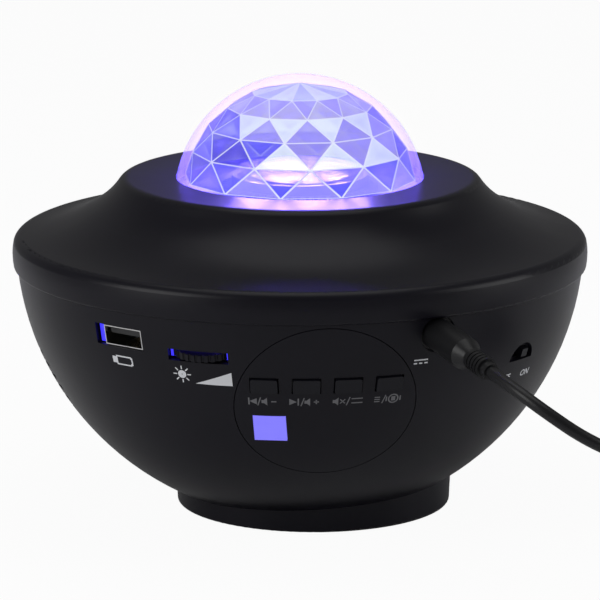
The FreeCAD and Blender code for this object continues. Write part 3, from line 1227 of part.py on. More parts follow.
def build_cord():
    """The plug, the free cord, its put-away coil and the plug at its far end."""
    jack = on_bowl(value("jack_azimuth"), value("jack_drop"))
    grip = jack * shifted(z=-value("jack_recess"))
    handle = rod("plug_handle", "plug_radius", "jack_recess + grip_length", grip)
    shoulder = bind(doc.addObject("Part::Cone", "plug_shoulder"), Radius1="plug_radius",
                    Radius2="relief_radius", Height="shoulder_length")
    shoulder.Placement = jack * shifted(z=value("grip_length"))
    relief_foot = value("grip_length + shoulder_length")
    relief = bind(doc.addObject("Part::Cone", "plug_relief"), Radius1="relief_radius",
                  Radius2="cord_radius + relief_end", Height="plug_length - grip_length - shoulder_length")
    relief.Placement = jack * shifted(z=relief_foot)
    pieces = [handle, shoulder, relief]
    first_rib = relief_foot + value("rib_inset")
    for index in range(int(value("relief_ribs"))):
        spot = first_rib + index * value("rib_pitch")
        pieces.append(rod("plug_rib_%d" % index, "relief_radius + rib_height", "rib_width",
                          jack * shifted(z=spot)))
    node("power_plug", joined("plug_whole", pieces))
    barrel_foot = jack * shifted(z=-value("jack_recess + barrel_length"))
    hollow_foot = barrel_foot * shifted(z=-value("barrel_length"))
    tube = rod("plug_barrel_out", "barrel_radius", "barrel_length", barrel_foot)
    hollow = rod("plug_barrel_in", "pin_radius + plug_gap", "2 * barrel_length - barrel_cap", hollow_foot)
    node("plug_barrel", cut("plug_barrel_tube", tube, hollow))

    points = cord_points()
    route, radii = rounded_route(points)
    print("cord radii, mm:", ", ".join("%.1f" % radius for radius in radii))
    free = swept_tube(route, points[0], points[1] - points[0])
    section = math.pi * value("cord_radius") ** 2
    print("cord volume %.1f, section times length %.1f" % (free.Volume, section * route.Length))
    node("power_cord", solid_feature("cord_tube", free))

    coil_wire, first, tail = coil_route()
    coil = swept_tube(coil_wire, first, Vector(1, 0, 0))
    print("coil volume %.1f, section times length %.1f" % (coil.Volume, section * coil_wire.Length))
    print("coil length %.0f mm, least gap to itself %.2f mm" % (coil_wire.Length, self_gap(coil_wire)))
    node("power_cord_coil", solid_feature("coil_tube", coil))

    grip_place = Placement(tail, Rotation(Vector(0, 1, 0), 90))
    neck_end = grip_place * shifted(z=value("neck_length"))
    grip_body = block("far_grip", "usb_plug_height", "usb_plug_width", "usb_plug_length - neck_length",
                      neck_end)
    neck = rod("far_neck", "cord_radius + neck_lip", "neck_length + relief_end", grip_place)
    node("usb_plug", joined("far_plug", [rounded("far_soft", grip_body, UPRIGHT_EDGES, "grip_soft"), neck]))
    mouth = grip_place * shifted(z=value("usb_plug_length"))
    shell_out = block("far_shell_out", "tip_height", "tip_width", "tip_length", mouth)
    shell_in = block("far_shell_in", "tip_height - 2 * usb_wall", "tip_width - 2 * usb_wall", "tip_length",
                     mouth * shifted(z=value("tip_back")))
    node("usb_plug_shell", cut("far_shell", shell_out, shell_in))


build_lid()
build_dome()
build_lens_drive()
build_lamp()
build_panel()
build_sockets()
build_wheel()
build_bowl()
build_bottom()
build_speaker()
build_cord()
doc.recompute()

faults = [item.Name for item in doc.Objects if "Invalid" in item.State or "Error" in item.State]
faults += [name for name, item in nodes.items() if item.Shape.isNull() or not item.Shape.isValid()]
if faults:
    raise SystemExit("these failed: " + ", ".join(faults))

os.makedirs("parts", exist_ok=True)
for name, item in nodes.items():
    item.Shape.exportStep("parts/%s.step" % name)
print("%d pieces written" % len(nodes))
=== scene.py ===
import math

import bmesh
import bpy
from mathutils import Matrix, Vector


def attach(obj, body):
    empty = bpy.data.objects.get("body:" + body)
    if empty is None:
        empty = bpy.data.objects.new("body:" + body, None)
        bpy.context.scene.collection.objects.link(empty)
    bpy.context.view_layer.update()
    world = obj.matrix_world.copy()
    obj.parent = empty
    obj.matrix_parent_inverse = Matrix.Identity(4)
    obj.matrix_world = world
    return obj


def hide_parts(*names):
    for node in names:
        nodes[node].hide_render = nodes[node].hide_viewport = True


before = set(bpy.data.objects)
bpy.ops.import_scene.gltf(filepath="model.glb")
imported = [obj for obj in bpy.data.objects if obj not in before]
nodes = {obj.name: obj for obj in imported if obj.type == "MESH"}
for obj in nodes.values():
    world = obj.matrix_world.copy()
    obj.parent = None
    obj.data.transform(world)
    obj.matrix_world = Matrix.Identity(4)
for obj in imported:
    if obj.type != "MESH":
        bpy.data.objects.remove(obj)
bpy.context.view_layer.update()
scene = bpy.context.scene
scene.view_settings.view_transform = "Standard"

# Sizes in metres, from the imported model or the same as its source.
MM = 0.001
BOWL_RADIUS = 81.5 * MM
BOWL_CENTRE = Vector((0, 0, 78.6 * MM))
CORD_RADIUS = 1.75 * MM
INK_LIFT = 0.04 * MM
GRAIN_DEPTH = 0.2 * MM
RIPPLE_DEPTH = 0.4 * MM
LONGEST_EDGE = 1.5 * MM

# Places on the bowl: degrees round from the front, and degrees down from level.
USB_PLACE = (-43.4, 11.25)
WHEEL_PLACE = (-26.3, 13.3)


def on_bowl(azimuth, drop):
    """A frame on the bowl: X to the right, Y up the wall, Z outward."""
    turn = Matrix.Rotation(math.radians(azimuth), 4, "Z") @ Matrix.Rotation(math.radians(90 + drop), 4, "X")
    outward = turn.to_3x3() @ Vector((0, 0, 1))
    return Matrix.Translation(BOWL_CENTRE + outward * BOWL_RADIUS) @ turn


# Shader groups that several finishes share.

def new_group(name, inputs, outputs):
    """An empty shader group with named sockets."""
    tree = bpy.data.node_groups.new(name, "ShaderNodeTree")
    for label, kind, default in inputs:
        socket = tree.interface.new_socket(label, in_out="INPUT", socket_type=kind)
        socket.default_value = default
    for label, kind in outputs:
        tree.interface.new_socket(label, in_out="OUTPUT", socket_type=kind)
    return tree, tree.nodes.new("NodeGroupInput"), tree.nodes.new("NodeGroupOutput")


def add_math(tree, operation, first, second):
    """A math node fed by sockets or plain numbers."""
    item = tree.nodes.new("ShaderNodeMath")
    item.operation = operation
    for slot, source in enumerate((first, second)):
        if isinstance(source, (int, float)):
            item.inputs[slot].default_value = source
        else:
            tree.links.new(source, item.inputs[slot])
    return item.outputs[0]


def make_moulded_group():
    """Fine spark-eroded grain with faint broad mottling, on object coordinates."""
    tree, start, end = new_group(
        "moulded_grain",
        [("Grain Scale", "NodeSocketFloat", 2600.0), ("Roughness", "NodeSocketFloat", 0.4),
         ("Spread", "NodeSocketFloat", 0.12)],
        [("Roughness", "NodeSocketFloat"), ("Height", "NodeSocketFloat"), ("Dust", "NodeSocketFloat")],
    )
    coords = tree.nodes.new("ShaderNodeTexCoord")
    fine = tree.nodes.new("ShaderNodeTexNoise")
    fine.inputs["Detail"].default_value = 3.0
    broad = tree.nodes.new("ShaderNodeTexNoise")
    broad.inputs["Scale"].default_value = 38.0
    broad.inputs["Detail"].default_value = 4.0
    for noise in (fine, broad):
        tree.links.new(coords.outputs["Object"], noise.inputs["Vector"])
    tree.links.new(start.outputs["Grain Scale"], fine.inputs["Scale"])
    centred = add_math(tree, "SUBTRACT", broad.outputs["Fac"], 0.5)
    change = add_math(tree, "MULTIPLY", centred, start.outputs["Spread"])
    tree.links.new(add_math(tree, "ADD", start.outputs["Roughness"], change), end.inputs["Roughness"])
    tree.links.new(fine.outputs["Fac"], end.inputs["Height"])
    tree.links.new(broad.outputs["Fac"], end.inputs["Dust"])
    return tree


def make_ripple_group():
    """Flow marks in a clear moulding, on object coordinates."""
    tree, start, end = new_group(
        "flow_marks",
        [("Scale", "NodeSocketFloat", 60.0)],
        [("Height", "NodeSocketFloat")],
    )
    coords = tree.nodes.new("ShaderNodeTexCoord")
    wave = tree.nodes.new("ShaderNodeTexNoise")
    wave.inputs["Detail"].default_value = 2.0
    wave.inputs["Distortion"].default_value = 0.6
    tree.links.new(coords.outputs["Object"], wave.inputs["Vector"])
    tree.links.new(start.outputs["Scale"], wave.inputs["Scale"])
    tree.links.new(wave.outputs["Fac"], end.inputs["Height"])
    return tree


MOULDED = make_moulded_group()
FLOW = make_ripple_group()


def new_material(name):
    """A node material with its Principled shader."""
    material = bpy.data.materials.new(name)
    material.use_nodes = True
    return material, material.node_tree, material.node_tree.nodes["Principled BSDF"]


def grained(name, colour, paler, roughness, spread, grain, depth, coat=0.0, metallic=0.0,
            specular=0.5):
    """A moulded or plated finish: grain, uneven gloss and a faint change of tone."""
    material, tree, shader = new_material(name)
    group = tree.nodes.new("ShaderNodeGroup")
    group.node_tree = MOULDED
    group.inputs["Grain Scale"].default_value = grain
    group.inputs["Roughness"].default_value = roughness
    group.inputs["Spread"].default_value = spread
    tone = tree.nodes.new("ShaderNodeMix")
    tone.data_type = "RGBA"
    tone.inputs["A"].default_value = (*colour, 1)
    tone.inputs["B"].default_value = (*paler, 1)
    tree.links.new(group.outputs["Dust"], tone.inputs["Factor"])
    tree.links.new(tone.outputs["Result"], shader.inputs["Base Color"])
    tree.links.new(group.outputs["Roughness"], shader.inputs["Roughness"])
    bump = tree.nodes.new("ShaderNodeBump")
    bump.inputs["Strength"].default_value = depth
    bump.inputs["Distance"].default_value = GRAIN_DEPTH
    tree.links.new(group.outputs["Height"], bump.inputs["Height"])
    tree.links.new(bump.outputs["Normal"], shader.inputs["Normal"])
    shader.inputs["Metallic"].default_value = metallic
    shader.inputs["Specular IOR Level"].default_value = specular
    shader.inputs["Coat Weight"].default_value = coat
    return material


def clear_plastic(name, tint, glow, roughness, clearest, rim):
    """Clear moulding with faint flow marks and a painted glow in its tint, paler where it is seen edge on
    as a painted reflection.
    """
    material, tree, shader = new_material(name)
    flow = tree.nodes.new("ShaderNodeGroup")
    flow.node_tree = FLOW
    bump = tree.nodes.new("ShaderNodeBump")
    bump.inputs["Strength"].default_value = 0.06
    bump.inputs["Distance"].default_value = RIPPLE_DEPTH
    tree.links.new(flow.outputs["Height"], bump.inputs["Height"])
    tree.links.new(bump.outputs["Normal"], shader.inputs["Normal"])
    shader.inputs["Base Color"].default_value = (*tint, 1)
    shader.inputs["Roughness"].default_value = roughness
    # Painted glow: the tint emits as if lit by the light inside.
    shader.inputs["Emission Color"].default_value = (*tint, 1)
    shader.inputs["Emission Strength"].default_value = glow
    # Painted reflection: the moulding grows more solid and paler where it is seen edge on.
    edge = tree.nodes.new("ShaderNodeLayerWeight")
    edge.inputs["Blend"].default_value = 0.2
    cover = tree.nodes.new("ShaderNodeMapRange")
    cover.inputs["To Min"].default_value = clearest
    cover.inputs["To Max"].default_value = rim
    tree.links.new(edge.outputs["Facing"], cover.inputs["Value"])
    path = tree.nodes.new("ShaderNodeLightPath")
    solid = add_math(tree, "SUBTRACT", 1.0, path.outputs["Is Shadow Ray"])
    tree.links.new(add_math(tree, "MULTIPLY", cover.outputs["Result"], solid), shader.inputs["Alpha"])
    return material


def glowing(name, colour, base, strength, mottle=0.3):
    """A glowing surface whose brightness is a little uneven: a lamp's own light, or painted glow on a part
    that is no lamp.
    """
    material, tree, shader = new_material(name)
    coords = tree.nodes.new("ShaderNodeTexCoord")
    noise = tree.nodes.new("ShaderNodeTexNoise")
    noise.inputs["Scale"].default_value = 240.0
    tree.links.new(coords.outputs["Object"], noise.inputs["Vector"])
    mix = tree.nodes.new("ShaderNodeMix")
    mix.data_type = "RGBA"
    mix.inputs["A"].default_value = (*[c * (1 - mottle) for c in colour], 1)
    mix.inputs["B"].default_value = (*colour, 1)
    tree.links.new(noise.outputs["Fac"], mix.inputs["Factor"])
    tree.links.new(mix.outputs["Result"], shader.inputs["Emission Color"])
    shader.inputs["Emission Strength"].default_value = strength
    shader.inputs["Base Color"].default_value = (*base, 1)
    shader.inputs["Roughness"].default_value = 0.35
    return material


black_shell = grained("satin_black_shell", (0.0035, 0.0032, 0.006), (0.0065, 0.0058, 0.0105), 0.34, 0.10,
                      2400, 0.10, specular=0.2)
black_key = grained("satin_black_key", (0.004, 0.004, 0.007), (0.008, 0.008, 0.012), 0.36, 0.1, 2800, 0.10,
                    specular=0.22)
dark_plastic = grained("black_nylon", (0.012, 0.012, 0.013), (0.02, 0.02, 0.021), 0.5, 0.15, 1800, 0.2)
white_plastic = grained("white_moulding", (0.70, 0.72, 0.80), (0.78, 0.80, 0.86), 0.35, 0.1, 900, 0.08)
board_green = grained("solder_mask", (0.008, 0.09, 0.035), (0.012, 0.13, 0.05), 0.3, 0.1, 700, 0.1,
                      coat=0.5)
bright_metal = grained("nickel_plate", (0.62, 0.62, 0.63), (0.74, 0.73, 0.71), 0.2, 0.15, 600, 0.05,
                       metallic=1.0)
screw_steel = grained("zinc_plate", (0.36, 0.37, 0.39), (0.45, 0.46, 0.48), 0.32, 0.2, 900, 0.12,
                      metallic=1.0)
gold_plate = grained("gold_plate", (0.75, 0.52, 0.2), (0.85, 0.62, 0.27), 0.22, 0.1, 900, 0.05,
                     metallic=1.0)
paper_cone = grained("pressed_paper", (0.016, 0.016, 0.018), (0.03, 0.03, 0.033), 0.75, 0.2, 700, 0.6)
pad_rubber = grained("foam_rubber", (0.014, 0.014, 0.014), (0.024, 0.024, 0.024), 0.8, 0.15, 1200, 0.5)
cord_jacket = grained("cord_jacket", (0.006, 0.006, 0.007), (0.011, 0.011, 0.012), 0.36, 0.12, 1500, 0.12,
                      specular=0.3)
clear_dome = clear_plastic("clear_dome", (0.34, 0.31, 0.62), 0.18, 0.05, 0.02, 0.62)
clear_lens = clear_plastic("clear_lens", (0.30, 0.30, 0.9), 0.15, 0.08, 0.12, 0.6)
white_ink = grained("white_ink", (0.62, 0.63, 0.66), (0.74, 0.75, 0.78), 0.5, 0.1, 1500, 0.1)
grey_ink = grained("grey_ink", (0.13, 0.13, 0.14), (0.18, 0.18, 0.19), 0.5, 0.1, 1500, 0.1,
                   specular=0.3)
# Painted glow: the receiver window is no lamp; its blue light stands for the light inside.
lit_window = glowing("lit_window", (0.21, 0.19, 0.95), (0.05, 0.04, 0.2), 1.0, 0.12)
lamp_white = glowing("lamp_white", (0.62, 0.74, 1.0), (0.8, 0.8, 0.8), 1.5, 0.1)
# Painted glow: the lens deck and its gear are no lamps; they glow blue as if lit by the light inside.
deck_painted_glow = glowing("deck_lit_blue", (0.05, 0.035, 0.95), (0.3, 0.3, 0.6), 1.1, 0.7)
# Painted glow: strips that stand for light leaking through the gaps.
leak_painted_glow = glowing("light_leak", (0.04, 0.03, 1.0), (0.02, 0.02, 0.3), 1.6, 0.4)

FINISHES = {
    black_shell: ["lower_housing", "upper_housing", "bottom_cover", "control_panel", "brightness_wheel"],
    black_key: ["button_previous", "button_next", "button_mode", "button_light", "power_switch_knob"],
    clear_dome: ["dome_cover"],
    clear_lens: ["effect_lens"],
    white_plastic: ["drive_pinion"],
    deck_painted_glow: ["lens_deck", "lens_gear"],
    lit_window: ["ir_window"],
    dark_plastic: ["ir_receiver", "dc_jack", "power_switch_body", "dimmer_body", "usb_tongue",
                   "tact_switches", "speaker_frame", "speaker_magnet"],
    board_green: ["panel_board", "main_board", "led_board"],
    bright_metal: ["usb_socket", "dc_jack_pin", "plug_barrel", "usb_plug_shell", "motor_shaft",
                   "laser_module"],
    screw_steel: ["cover_screws", "deck_screws", "board_screws", "lens_motor"],
    lamp_white: ["led_emitters"],
    paper_cone: ["speaker_cone"],
    pad_rubber: ["foot_pads"],
    cord_jacket: ["power_plug", "usb_plug", "power_cord", "power_cord_coil"],
}


def finish_nodes():
    """Give every CAD node its finish."""
    for material, names in FINISHES.items():
        for name in names:
            mesh = nodes[name].data
            mesh.materials.clear()
            mesh.materials.append(material)


def new_piece(name, mesh, material):
    """A finished mesh that rides on the housing."""
    piece = bpy.data.objects.new(name, mesh)
    scene.collection.objects.link(piece)
    mesh.materials.clear()
    mesh.materials.append(material)
    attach(piece, "housing")


# Printed marks: flat outlines in millimetres, wrapped onto the bowl.

def onto_wall(place, spot):
    """Where a flat point of a mark lands on the bowl."""
    outward = (place @ spot - BOWL_CENTRE).normalized()
    return BOWL_CENTRE + outward * (BOWL_RADIUS + INK_LIFT)


def wrap_outlines(name, outlines, azimuth, drop, material=white_ink):
    """Polygons drawn on the bowl's wall, cut fine enough to follow its curve."""
    mesh = bpy.data.meshes.new(name)
    shape = bmesh.new()
    for outline in outlines:
        shape.faces.new([shape.verts.new((x * MM, y * MM, 0)) for x, y in outline])
    bmesh.ops.triangulate(shape, faces=shape.faces[:])
    long_edges = [edge for edge in shape.edges if edge.calc_length() > LONGEST_EDGE]
    bmesh.ops.subdivide_edges(shape, edges=long_edges, cuts=2)
    bmesh.ops.triangulate(shape, faces=shape.faces[:])
    place = on_bowl(azimuth, drop)
    for vertex in shape.verts:
        vertex.co = onto_wall(place, vertex.co)
    outward = place.to_3x3() @ Vector((0, 0, 1))
    shape.normal_update()
    for face in shape.faces:
        if face.normal.dot(outward) < 0:
            face.normal_flip()
    shape.to_mesh(mesh)
    shape.free()
    new_piece(name, mesh, material)


def bar(x, y, width, height, turn=0.0):
    """A rectangle about a point."""
    cos, sin = math.cos(math.radians(turn)), math.sin(math.radians(turn))
    half, rise = width / 2, height / 2
    corners = ((-half, -rise), (half, -rise), (half, rise), (-half, rise))
    return [(x + a * cos - b * sin, y + a * sin + b * cos) for a, b in corners]


def triangle(x, size, facing=1):
    """A play mark that points right, or left where facing is -1."""
    back, tip = x - facing * size / 2, x + facing * size / 2
    return [(back, -size / 2), (tip, 0), (back, size / 2)]


def ring_bars(x, radius, thickness, count):
    """A round line made of short bars."""
    inner, outer = radius - thickness / 2, radius + thickness / 2
    bars = []
    for index in range(count):
        low = 2 * math.pi * index / count
        high = 2 * math.pi * (index + 1) / count
        corners = ((inner, low), (outer, low), (outer, high), (inner, high))
        bars.append([(x + reach * math.cos(angle), reach * math.sin(angle)) for reach, angle in corners])
    return bars


def speaker_mark(x):
    """A small loudspeaker."""
    horn = [(x - 0.5, -0.4), (x + 0.2, -1.0), (x + 0.2, 1.0), (x - 0.5, 0.4)]
    return [bar(x - 0.75, 0, 0.5, 0.8), horn]


def slash(x):
    """The stroke between the two marks of one key."""
    return bar(x, 0, 0.25, 2.2, -18)


# The keys' spacing and the size of their marks, in millimetres.
KEY_PITCH = 11.5
KEY_MARK_DROP = 22.4
KEY_MARK_SCALE = 1.3
FINE_LINE = 0.28


def print_key_marks():
    """Previous, next, mute and lamp marks under the four keys."""
    minus = bar(2.2, 0, 1.1, FINE_LINE)
    plus = [minus, bar(2.2, 0, FINE_LINE, 1.1)]
    cross = [bar(-1.1, 0, 0.24, 1.5, turn) for turn in (45, -45)]
    previous = [bar(-3.1, 0, 0.3, 1.8), triangle(-2.2, 1.6, -1), slash(-0.9), *speaker_mark(0.6), minus]
    following = [triangle(-2.7, 1.6), bar(-1.6, 0, 0.3, 1.8), slash(-0.7), *speaker_mark(0.7), *plus]
    mute = [*speaker_mark(-2.2), *cross, slash(0.1)]
    mute += [bar(2.0, y, 2.4, FINE_LINE) for y in (0.6, -0.5)]
    lamp = [bar(-2.6, y, 1.2, 0.26) for y in (0.55, 0, -0.55)] + [slash(-1.1)]
    lamp += ring_bars(1.0, 1.05, 0.32, 16) + [bar(1.0, 0, 0.9, 1.1)]
    lamp += [bar(x, 0, 0.3, 1.2) for x in (-0.55, 2.55)]
    marks = {"mark_previous": previous, "mark_next": following, "mark_mute": mute, "mark_lamp": lamp}
    reach = BOWL_RADIUS / MM * math.cos(math.radians(KEY_MARK_DROP))
    for index, (name, outlines) in enumerate(marks.items()):
        azimuth = math.degrees(math.asin((index - 1.5) * KEY_PITCH / reach))
        scaled = [[(x * KEY_MARK_SCALE, y * KEY_MARK_SCALE) for x, y in outline] for outline in outlines]
        wrap_outlines(name, scaled, azimuth, KEY_MARK_DROP, grey_ink)


WORD_SIZE = 2.835 * MM
WORD_BOLDNESS = 0.05 * MM


def print_word(name, word, azimuth, drop):
    """A short switch mark in plain capitals, wrapped onto the bowl."""
    curve = bpy.data.curves.new(name + "_text", "FONT")
    curve.body = word
    curve.size = WORD_SIZE
    curve.align_x = "CENTER"
    curve.align_y = "CENTER"
    curve.offset = WORD_BOLDNESS
    curve.resolution_u = 3
    source = bpy.data.objects.new(name + "_source", curve)
    scene.collection.objects.link(source)
    graph = bpy.context.evaluated_depsgraph_get()
    mesh = bpy.data.meshes.new_from_object(source.evaluated_get(graph))
    bpy.data.objects.remove(source)
    place = on_bowl(azimuth, drop)
    for vertex in mesh.vertices:
        vertex.co = onto_wall(place, vertex.co)
    new_piece(name, mesh, white_ink)


def print_wall_marks():
    """The storage stick, sun, brightness ramp, direct current and switch marks."""
    stick = [bar(-2.9, 0, 1.5, 2.0), bar(3.3, 0, 0.45, 2.4), bar(-2.05, 0, 0.4, 2.9)]
    for side in (1, -1):
        stick += [bar(0.6, 1.25 * side, 5.0, 0.42), bar(3.0, 0.95 * side, 0.5, 0.5)]
    wrap_outlines("mark_storage", stick, -44.2, 16.2)
    sun = ring_bars(0, 0.7, 1.1, 14)
    for turn in range(0, 360, 45):
        angle = math.radians(turn)
        sun.append(bar(2.1 * math.cos(angle), 2.1 * math.sin(angle), 1.1, 0.34, turn))
    wrap_outlines("mark_sun", sun, -30.1, 17.3)
    wrap_outlines("mark_ramp", [[(-5.4, -2.1), (5.4, -2.1), (5.4, 2.1)]], -23.4, 17.7)
    current = [bar(0, 0.5, 4.2, 0.4)] + [bar(x, -0.5, 1.0, 0.4) for x in (-1.6, 0, 1.6)]
    wrap_outlines("mark_direct_current", current, 19.2, 14.6)
    print_word("mark_off", "OFF", 43.2, 22.0)
    print_word("mark_on", "ON", 50.6, 22.0)


# The power cord: route points repeated from the part's source, in millimetres.

CORD_START = Vector((41.74, -100.75, 60.93))
CORD_OUT = Vector((0.37775, -0.91199, -0.15988))
CORD_ROUTE = [
    (53.6, -118.6, 54.2),
    (64.95, -121.4, 46.5),
    (78.3, -118.9, 40.2),
    (93.0, -113.5, 30.5),
    (107.0, -108.5, 19.5),
    (121.0, -104.0, 10.0),
    (136.0, -101.0, 3.8),
    (151.0, -100.0, 1.85),
    (163.0, -100.0, 1.85),
]
COIL_INNER = 11.5
COIL_PITCH = 4.6
COIL_RISE = 4.4
COIL_LOOPS = 4
COIL_OUTER = COIL_INNER + COIL_PITCH * COIL_LOOPS
COIL_LEAD = Vector((4.0, 0, 0))
COIL_START = Vector(CORD_ROUTE[-1]) + COIL_LEAD
COIL_CENTRE = Vector((COIL_START.x, COIL_START.y + COIL_OUTER, 0))
COIL_EASE = 0.25
POINTS_PER_LOOP = 24
PLUG_LEAD = 11
FAR_PLUG_HEIGHT = 8.4


def coil_point(turn, reach=1.0):
    """A point of the coil after so many turns: in along the lower layer, out along the upper one."""
    inward = turn - COIL_LOOPS
    span = math.sqrt(COIL_LOOPS ** 2 + COIL_EASE ** 2)
    radius = COIL_OUTER + COIL_PITCH * (math.sqrt(inward ** 2 + COIL_EASE ** 2) - span)
    share = min(max(inward + 0.5, 0.0), 1.0)
    up = COIL_START.z + COIL_RISE * share * share * (3 - 2 * share)
    angle = 2 * math.pi * turn - math.pi / 2
    return Vector((COIL_CENTRE.x + reach * radius * math.cos(angle),
                   COIL_CENTRE.y + reach * radius * math.sin(angle), up))


def cord_control_points():
    """Every control point of the cord, from the power plug to the far plug."""
    points = [CORD_START, CORD_START + CORD_OUT * PLUG_LEAD]
    points += [Vector(point) for point in CORD_ROUTE]
    # The curve runs a little inside its control points, so the coil's stand out by as much.
    outset = (1 + 1 / math.cos(math.pi / POINTS_PER_LOOP)) / 2
    for index in range(1, 2 * COIL_LOOPS * POINTS_PER_LOOP):
        points.append(coil_point(index / POINTS_PER_LOOP, outset))
    end = coil_point(2 * COIL_LOOPS)
    rise = FAR_PLUG_HEIGHT / 2 - end.z
    steps = ((6, 0, -0.1), (14, -0.3, 0.7 * rise), (21, -0.4, rise), (27.5, -0.4, rise))
    return points + [end + Vector(step) for step in steps]


def make_cord():
    """One smooth cord in place of the tube and the coil."""
    curve = bpy.data.curves.new("power_cord_line", "CURVE")
    curve.dimensions = "3D"
    spline = curve.splines.new("NURBS")
    points = cord_control_points()
    spline.points.add(len(points) - 1)
    for target, point in zip(spline.points, points):
        target.co = (*(point * MM), 1)
    spline.order_u = 3
    spline.use_endpoint_u = True
    spline.resolution_u = 6
    curve.bevel_depth = CORD_RADIUS
    curve.bevel_resolution = 5
    curve.use_fill_caps = True
    curve.materials.append(cord_jacket)
    cord = bpy.data.objects.new("power_cord_flex", curve)
    scene.collection.objects.link(cord)
    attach(cord, "housing")
    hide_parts("power_cord", "power_cord_coil")


# Contacts in the USB socket: a row of bars from one geometry tree.

def row_of_bars_tree():
    """Bars along a line, with their count, spacing and size as inputs."""
    tree = bpy.data.node_groups.new("row_of_bars", "GeometryNodeTree")
    for label, kind, default in (("Count", "NodeSocketInt", 4), ("Spacing", "NodeSocketFloat", 0.002),
                                 ("Size", "NodeSocketVector", (0.001, 0.001, 0.001)),
                                 ("Material", "NodeSocketMaterial", None)):
        socket = tree.interface.new_socket(label, in_out="INPUT", socket_type=kind)
        if default is not None:
            socket.default_value = default
    tree.interface.new_socket("Geometry", in_out="OUTPUT", socket_type="NodeSocketGeometry")
    start = tree.nodes.new("NodeGroupInput")
    end = tree.nodes.new("NodeGroupOutput")
    line = tree.nodes.new("GeometryNodeMeshLine")
    offset = tree.nodes.new("ShaderNodeCombineXYZ")
    tree.links.new(start.outputs["Count"], line.inputs["Count"])
    tree.links.new(start.outputs["Spacing"], offset.inputs["X"])
    tree.links.new(offset.outputs["Vector"], line.inputs["Offset"])
    cube = tree.nodes.new("GeometryNodeMeshCube")
    tree.links.new(start.outputs["Size"], cube.inputs["Size"])
    copies = tree.nodes.new("GeometryNodeInstanceOnPoints")
    tree.links.new(line.outputs["Mesh"], copies.inputs["Points"])
    tree.links.new(cube.outputs["Mesh"], copies.inputs["Instance"])
    real = tree.nodes.new("GeometryNodeRealizeInstances")
    tree.links.new(copies.outputs["Instances"], real.inputs["Geometry"])
    paint = tree.nodes.new("GeometryNodeSetMaterial")
    tree.links.new(real.outputs["Geometry"], paint.inputs["Geometry"])
    tree.links.new(start.outputs["Material"], paint.inputs["Material"])
    tree.links.new(paint.outputs["Geometry"], end.inputs["Geometry"])
    return tree


BAR_ROW = row_of_bars_tree()


def make_bar_row(name, count, spacing, size, material, place):
    """A baked row of bars, centred in the frame place."""
    carrier = bpy.data.objects.new(name + "_carrier", bpy.data.meshes.new(name + "_empty"))
    scene.collection.objects.link(carrier)
    modifier = carrier.modifiers.new("bars", "NODES")
    modifier.node_group = BAR_ROW
    values = {"Count": count, "Spacing": spacing, "Size": size, "Material": material}
    for item in BAR_ROW.interface.items_tree:
        if item.in_out == "INPUT":
            modifier[item.identifier] = values[item.name]
    graph = bpy.context.evaluated_depsgraph_get()
    mesh = bpy.data.meshes.new_from_object(carrier.evaluated_get(graph))
    bpy.data.objects.remove(carrier)
    mesh.transform(place @ Matrix.Translation((-(count - 1) * spacing / 2, 0, 0)))
    new_piece(name, mesh, material)


# The lit facets inside the dome, drawn as a thin film of painted glow. Their rings of corners are given in
# degrees from the dome's axis.

FACET_SPHERE = 34.2 * MM
FACET_CENTRE = Vector((0, 0, 88.9 * MM))
FACET_START = 78.9
FACET_STEP = 13.75
FACET_SIDES = 12
FACET_ROWS = 4
FACET_INSET = 0.25 * MM
FLANK = 0.75

# The film on a facet: how wide its edge line is, and how much it hides at the edge and in the middle. The
# edge line is a painted glint.
EDGE_LINE = 0.022
EDGE_COVER = 0.9
MIDDLE_COVER = 0.66
MIDDLE_DISTANCE = 0.33
EDGE_GLINT_SHARE = 0.8
EDGE_GLINT_COLOUR = (0.86, 0.9, 1.0)
# Tones of the painted glow on the facets, standing for the light inside as the facets refract it.
DEEP_BLUE = (0.035, 0.03, 0.62)
MID_BLUE = (0.11, 0.11, 0.92)
LAVENDER = (0.34, 0.31, 0.86)
GREY_LILAC = (0.44, 0.42, 0.72)
PALE = (0.52, 0.60, 1.0)
WHITE_BLUE = (0.80, 0.90, 1.0)


def stagger(level):
    """Every second ring of corners stands half a facet further round."""
    return 0.5 if level % 2 == 0 else 0.0


def facet_rings():
    """Corners of the dome's inner facets, a little inside them."""
    radius = FACET_SPHERE - FACET_INSET
    rings = []
    for level in range(FACET_ROWS + 1):
        polar = math.radians(FACET_START - level * FACET_STEP)
        ring = []
        for index in range(FACET_SIDES):
            turn = math.radians(-90 + 360 / FACET_SIDES * (index + stagger(level)))
            ring.append(FACET_CENTRE + Vector((radius * math.sin(polar) * math.cos(turn),
                                               radius * math.sin(polar) * math.sin(turn),
                                               radius * math.cos(polar))))
        rings.append(ring)
    return rings, FACET_CENTRE + Vector((0, 0, radius))


def facet_glow_tone(level, index, upward):
    """Painted glow tone of one facet: an icy cap, a lavender band, then pale facets between blue flanks."""
    even = index % 2 == 0
    aside = abs(math.sin(2 * math.pi * (index + stagger(level)) / FACET_SIDES))
    if level == FACET_ROWS:
        return WHITE_BLUE if even else PALE
    if level == FACET_ROWS - 1:
        return GREY_LILAC if upward else LAVENDER
    if aside > FLANK:
        return DEEP_BLUE if even == upward else MID_BLUE
    if level == 0:
        return LAVENDER if upward else MID_BLUE
    return WHITE_BLUE if upward == (level == 1) else LAVENDER


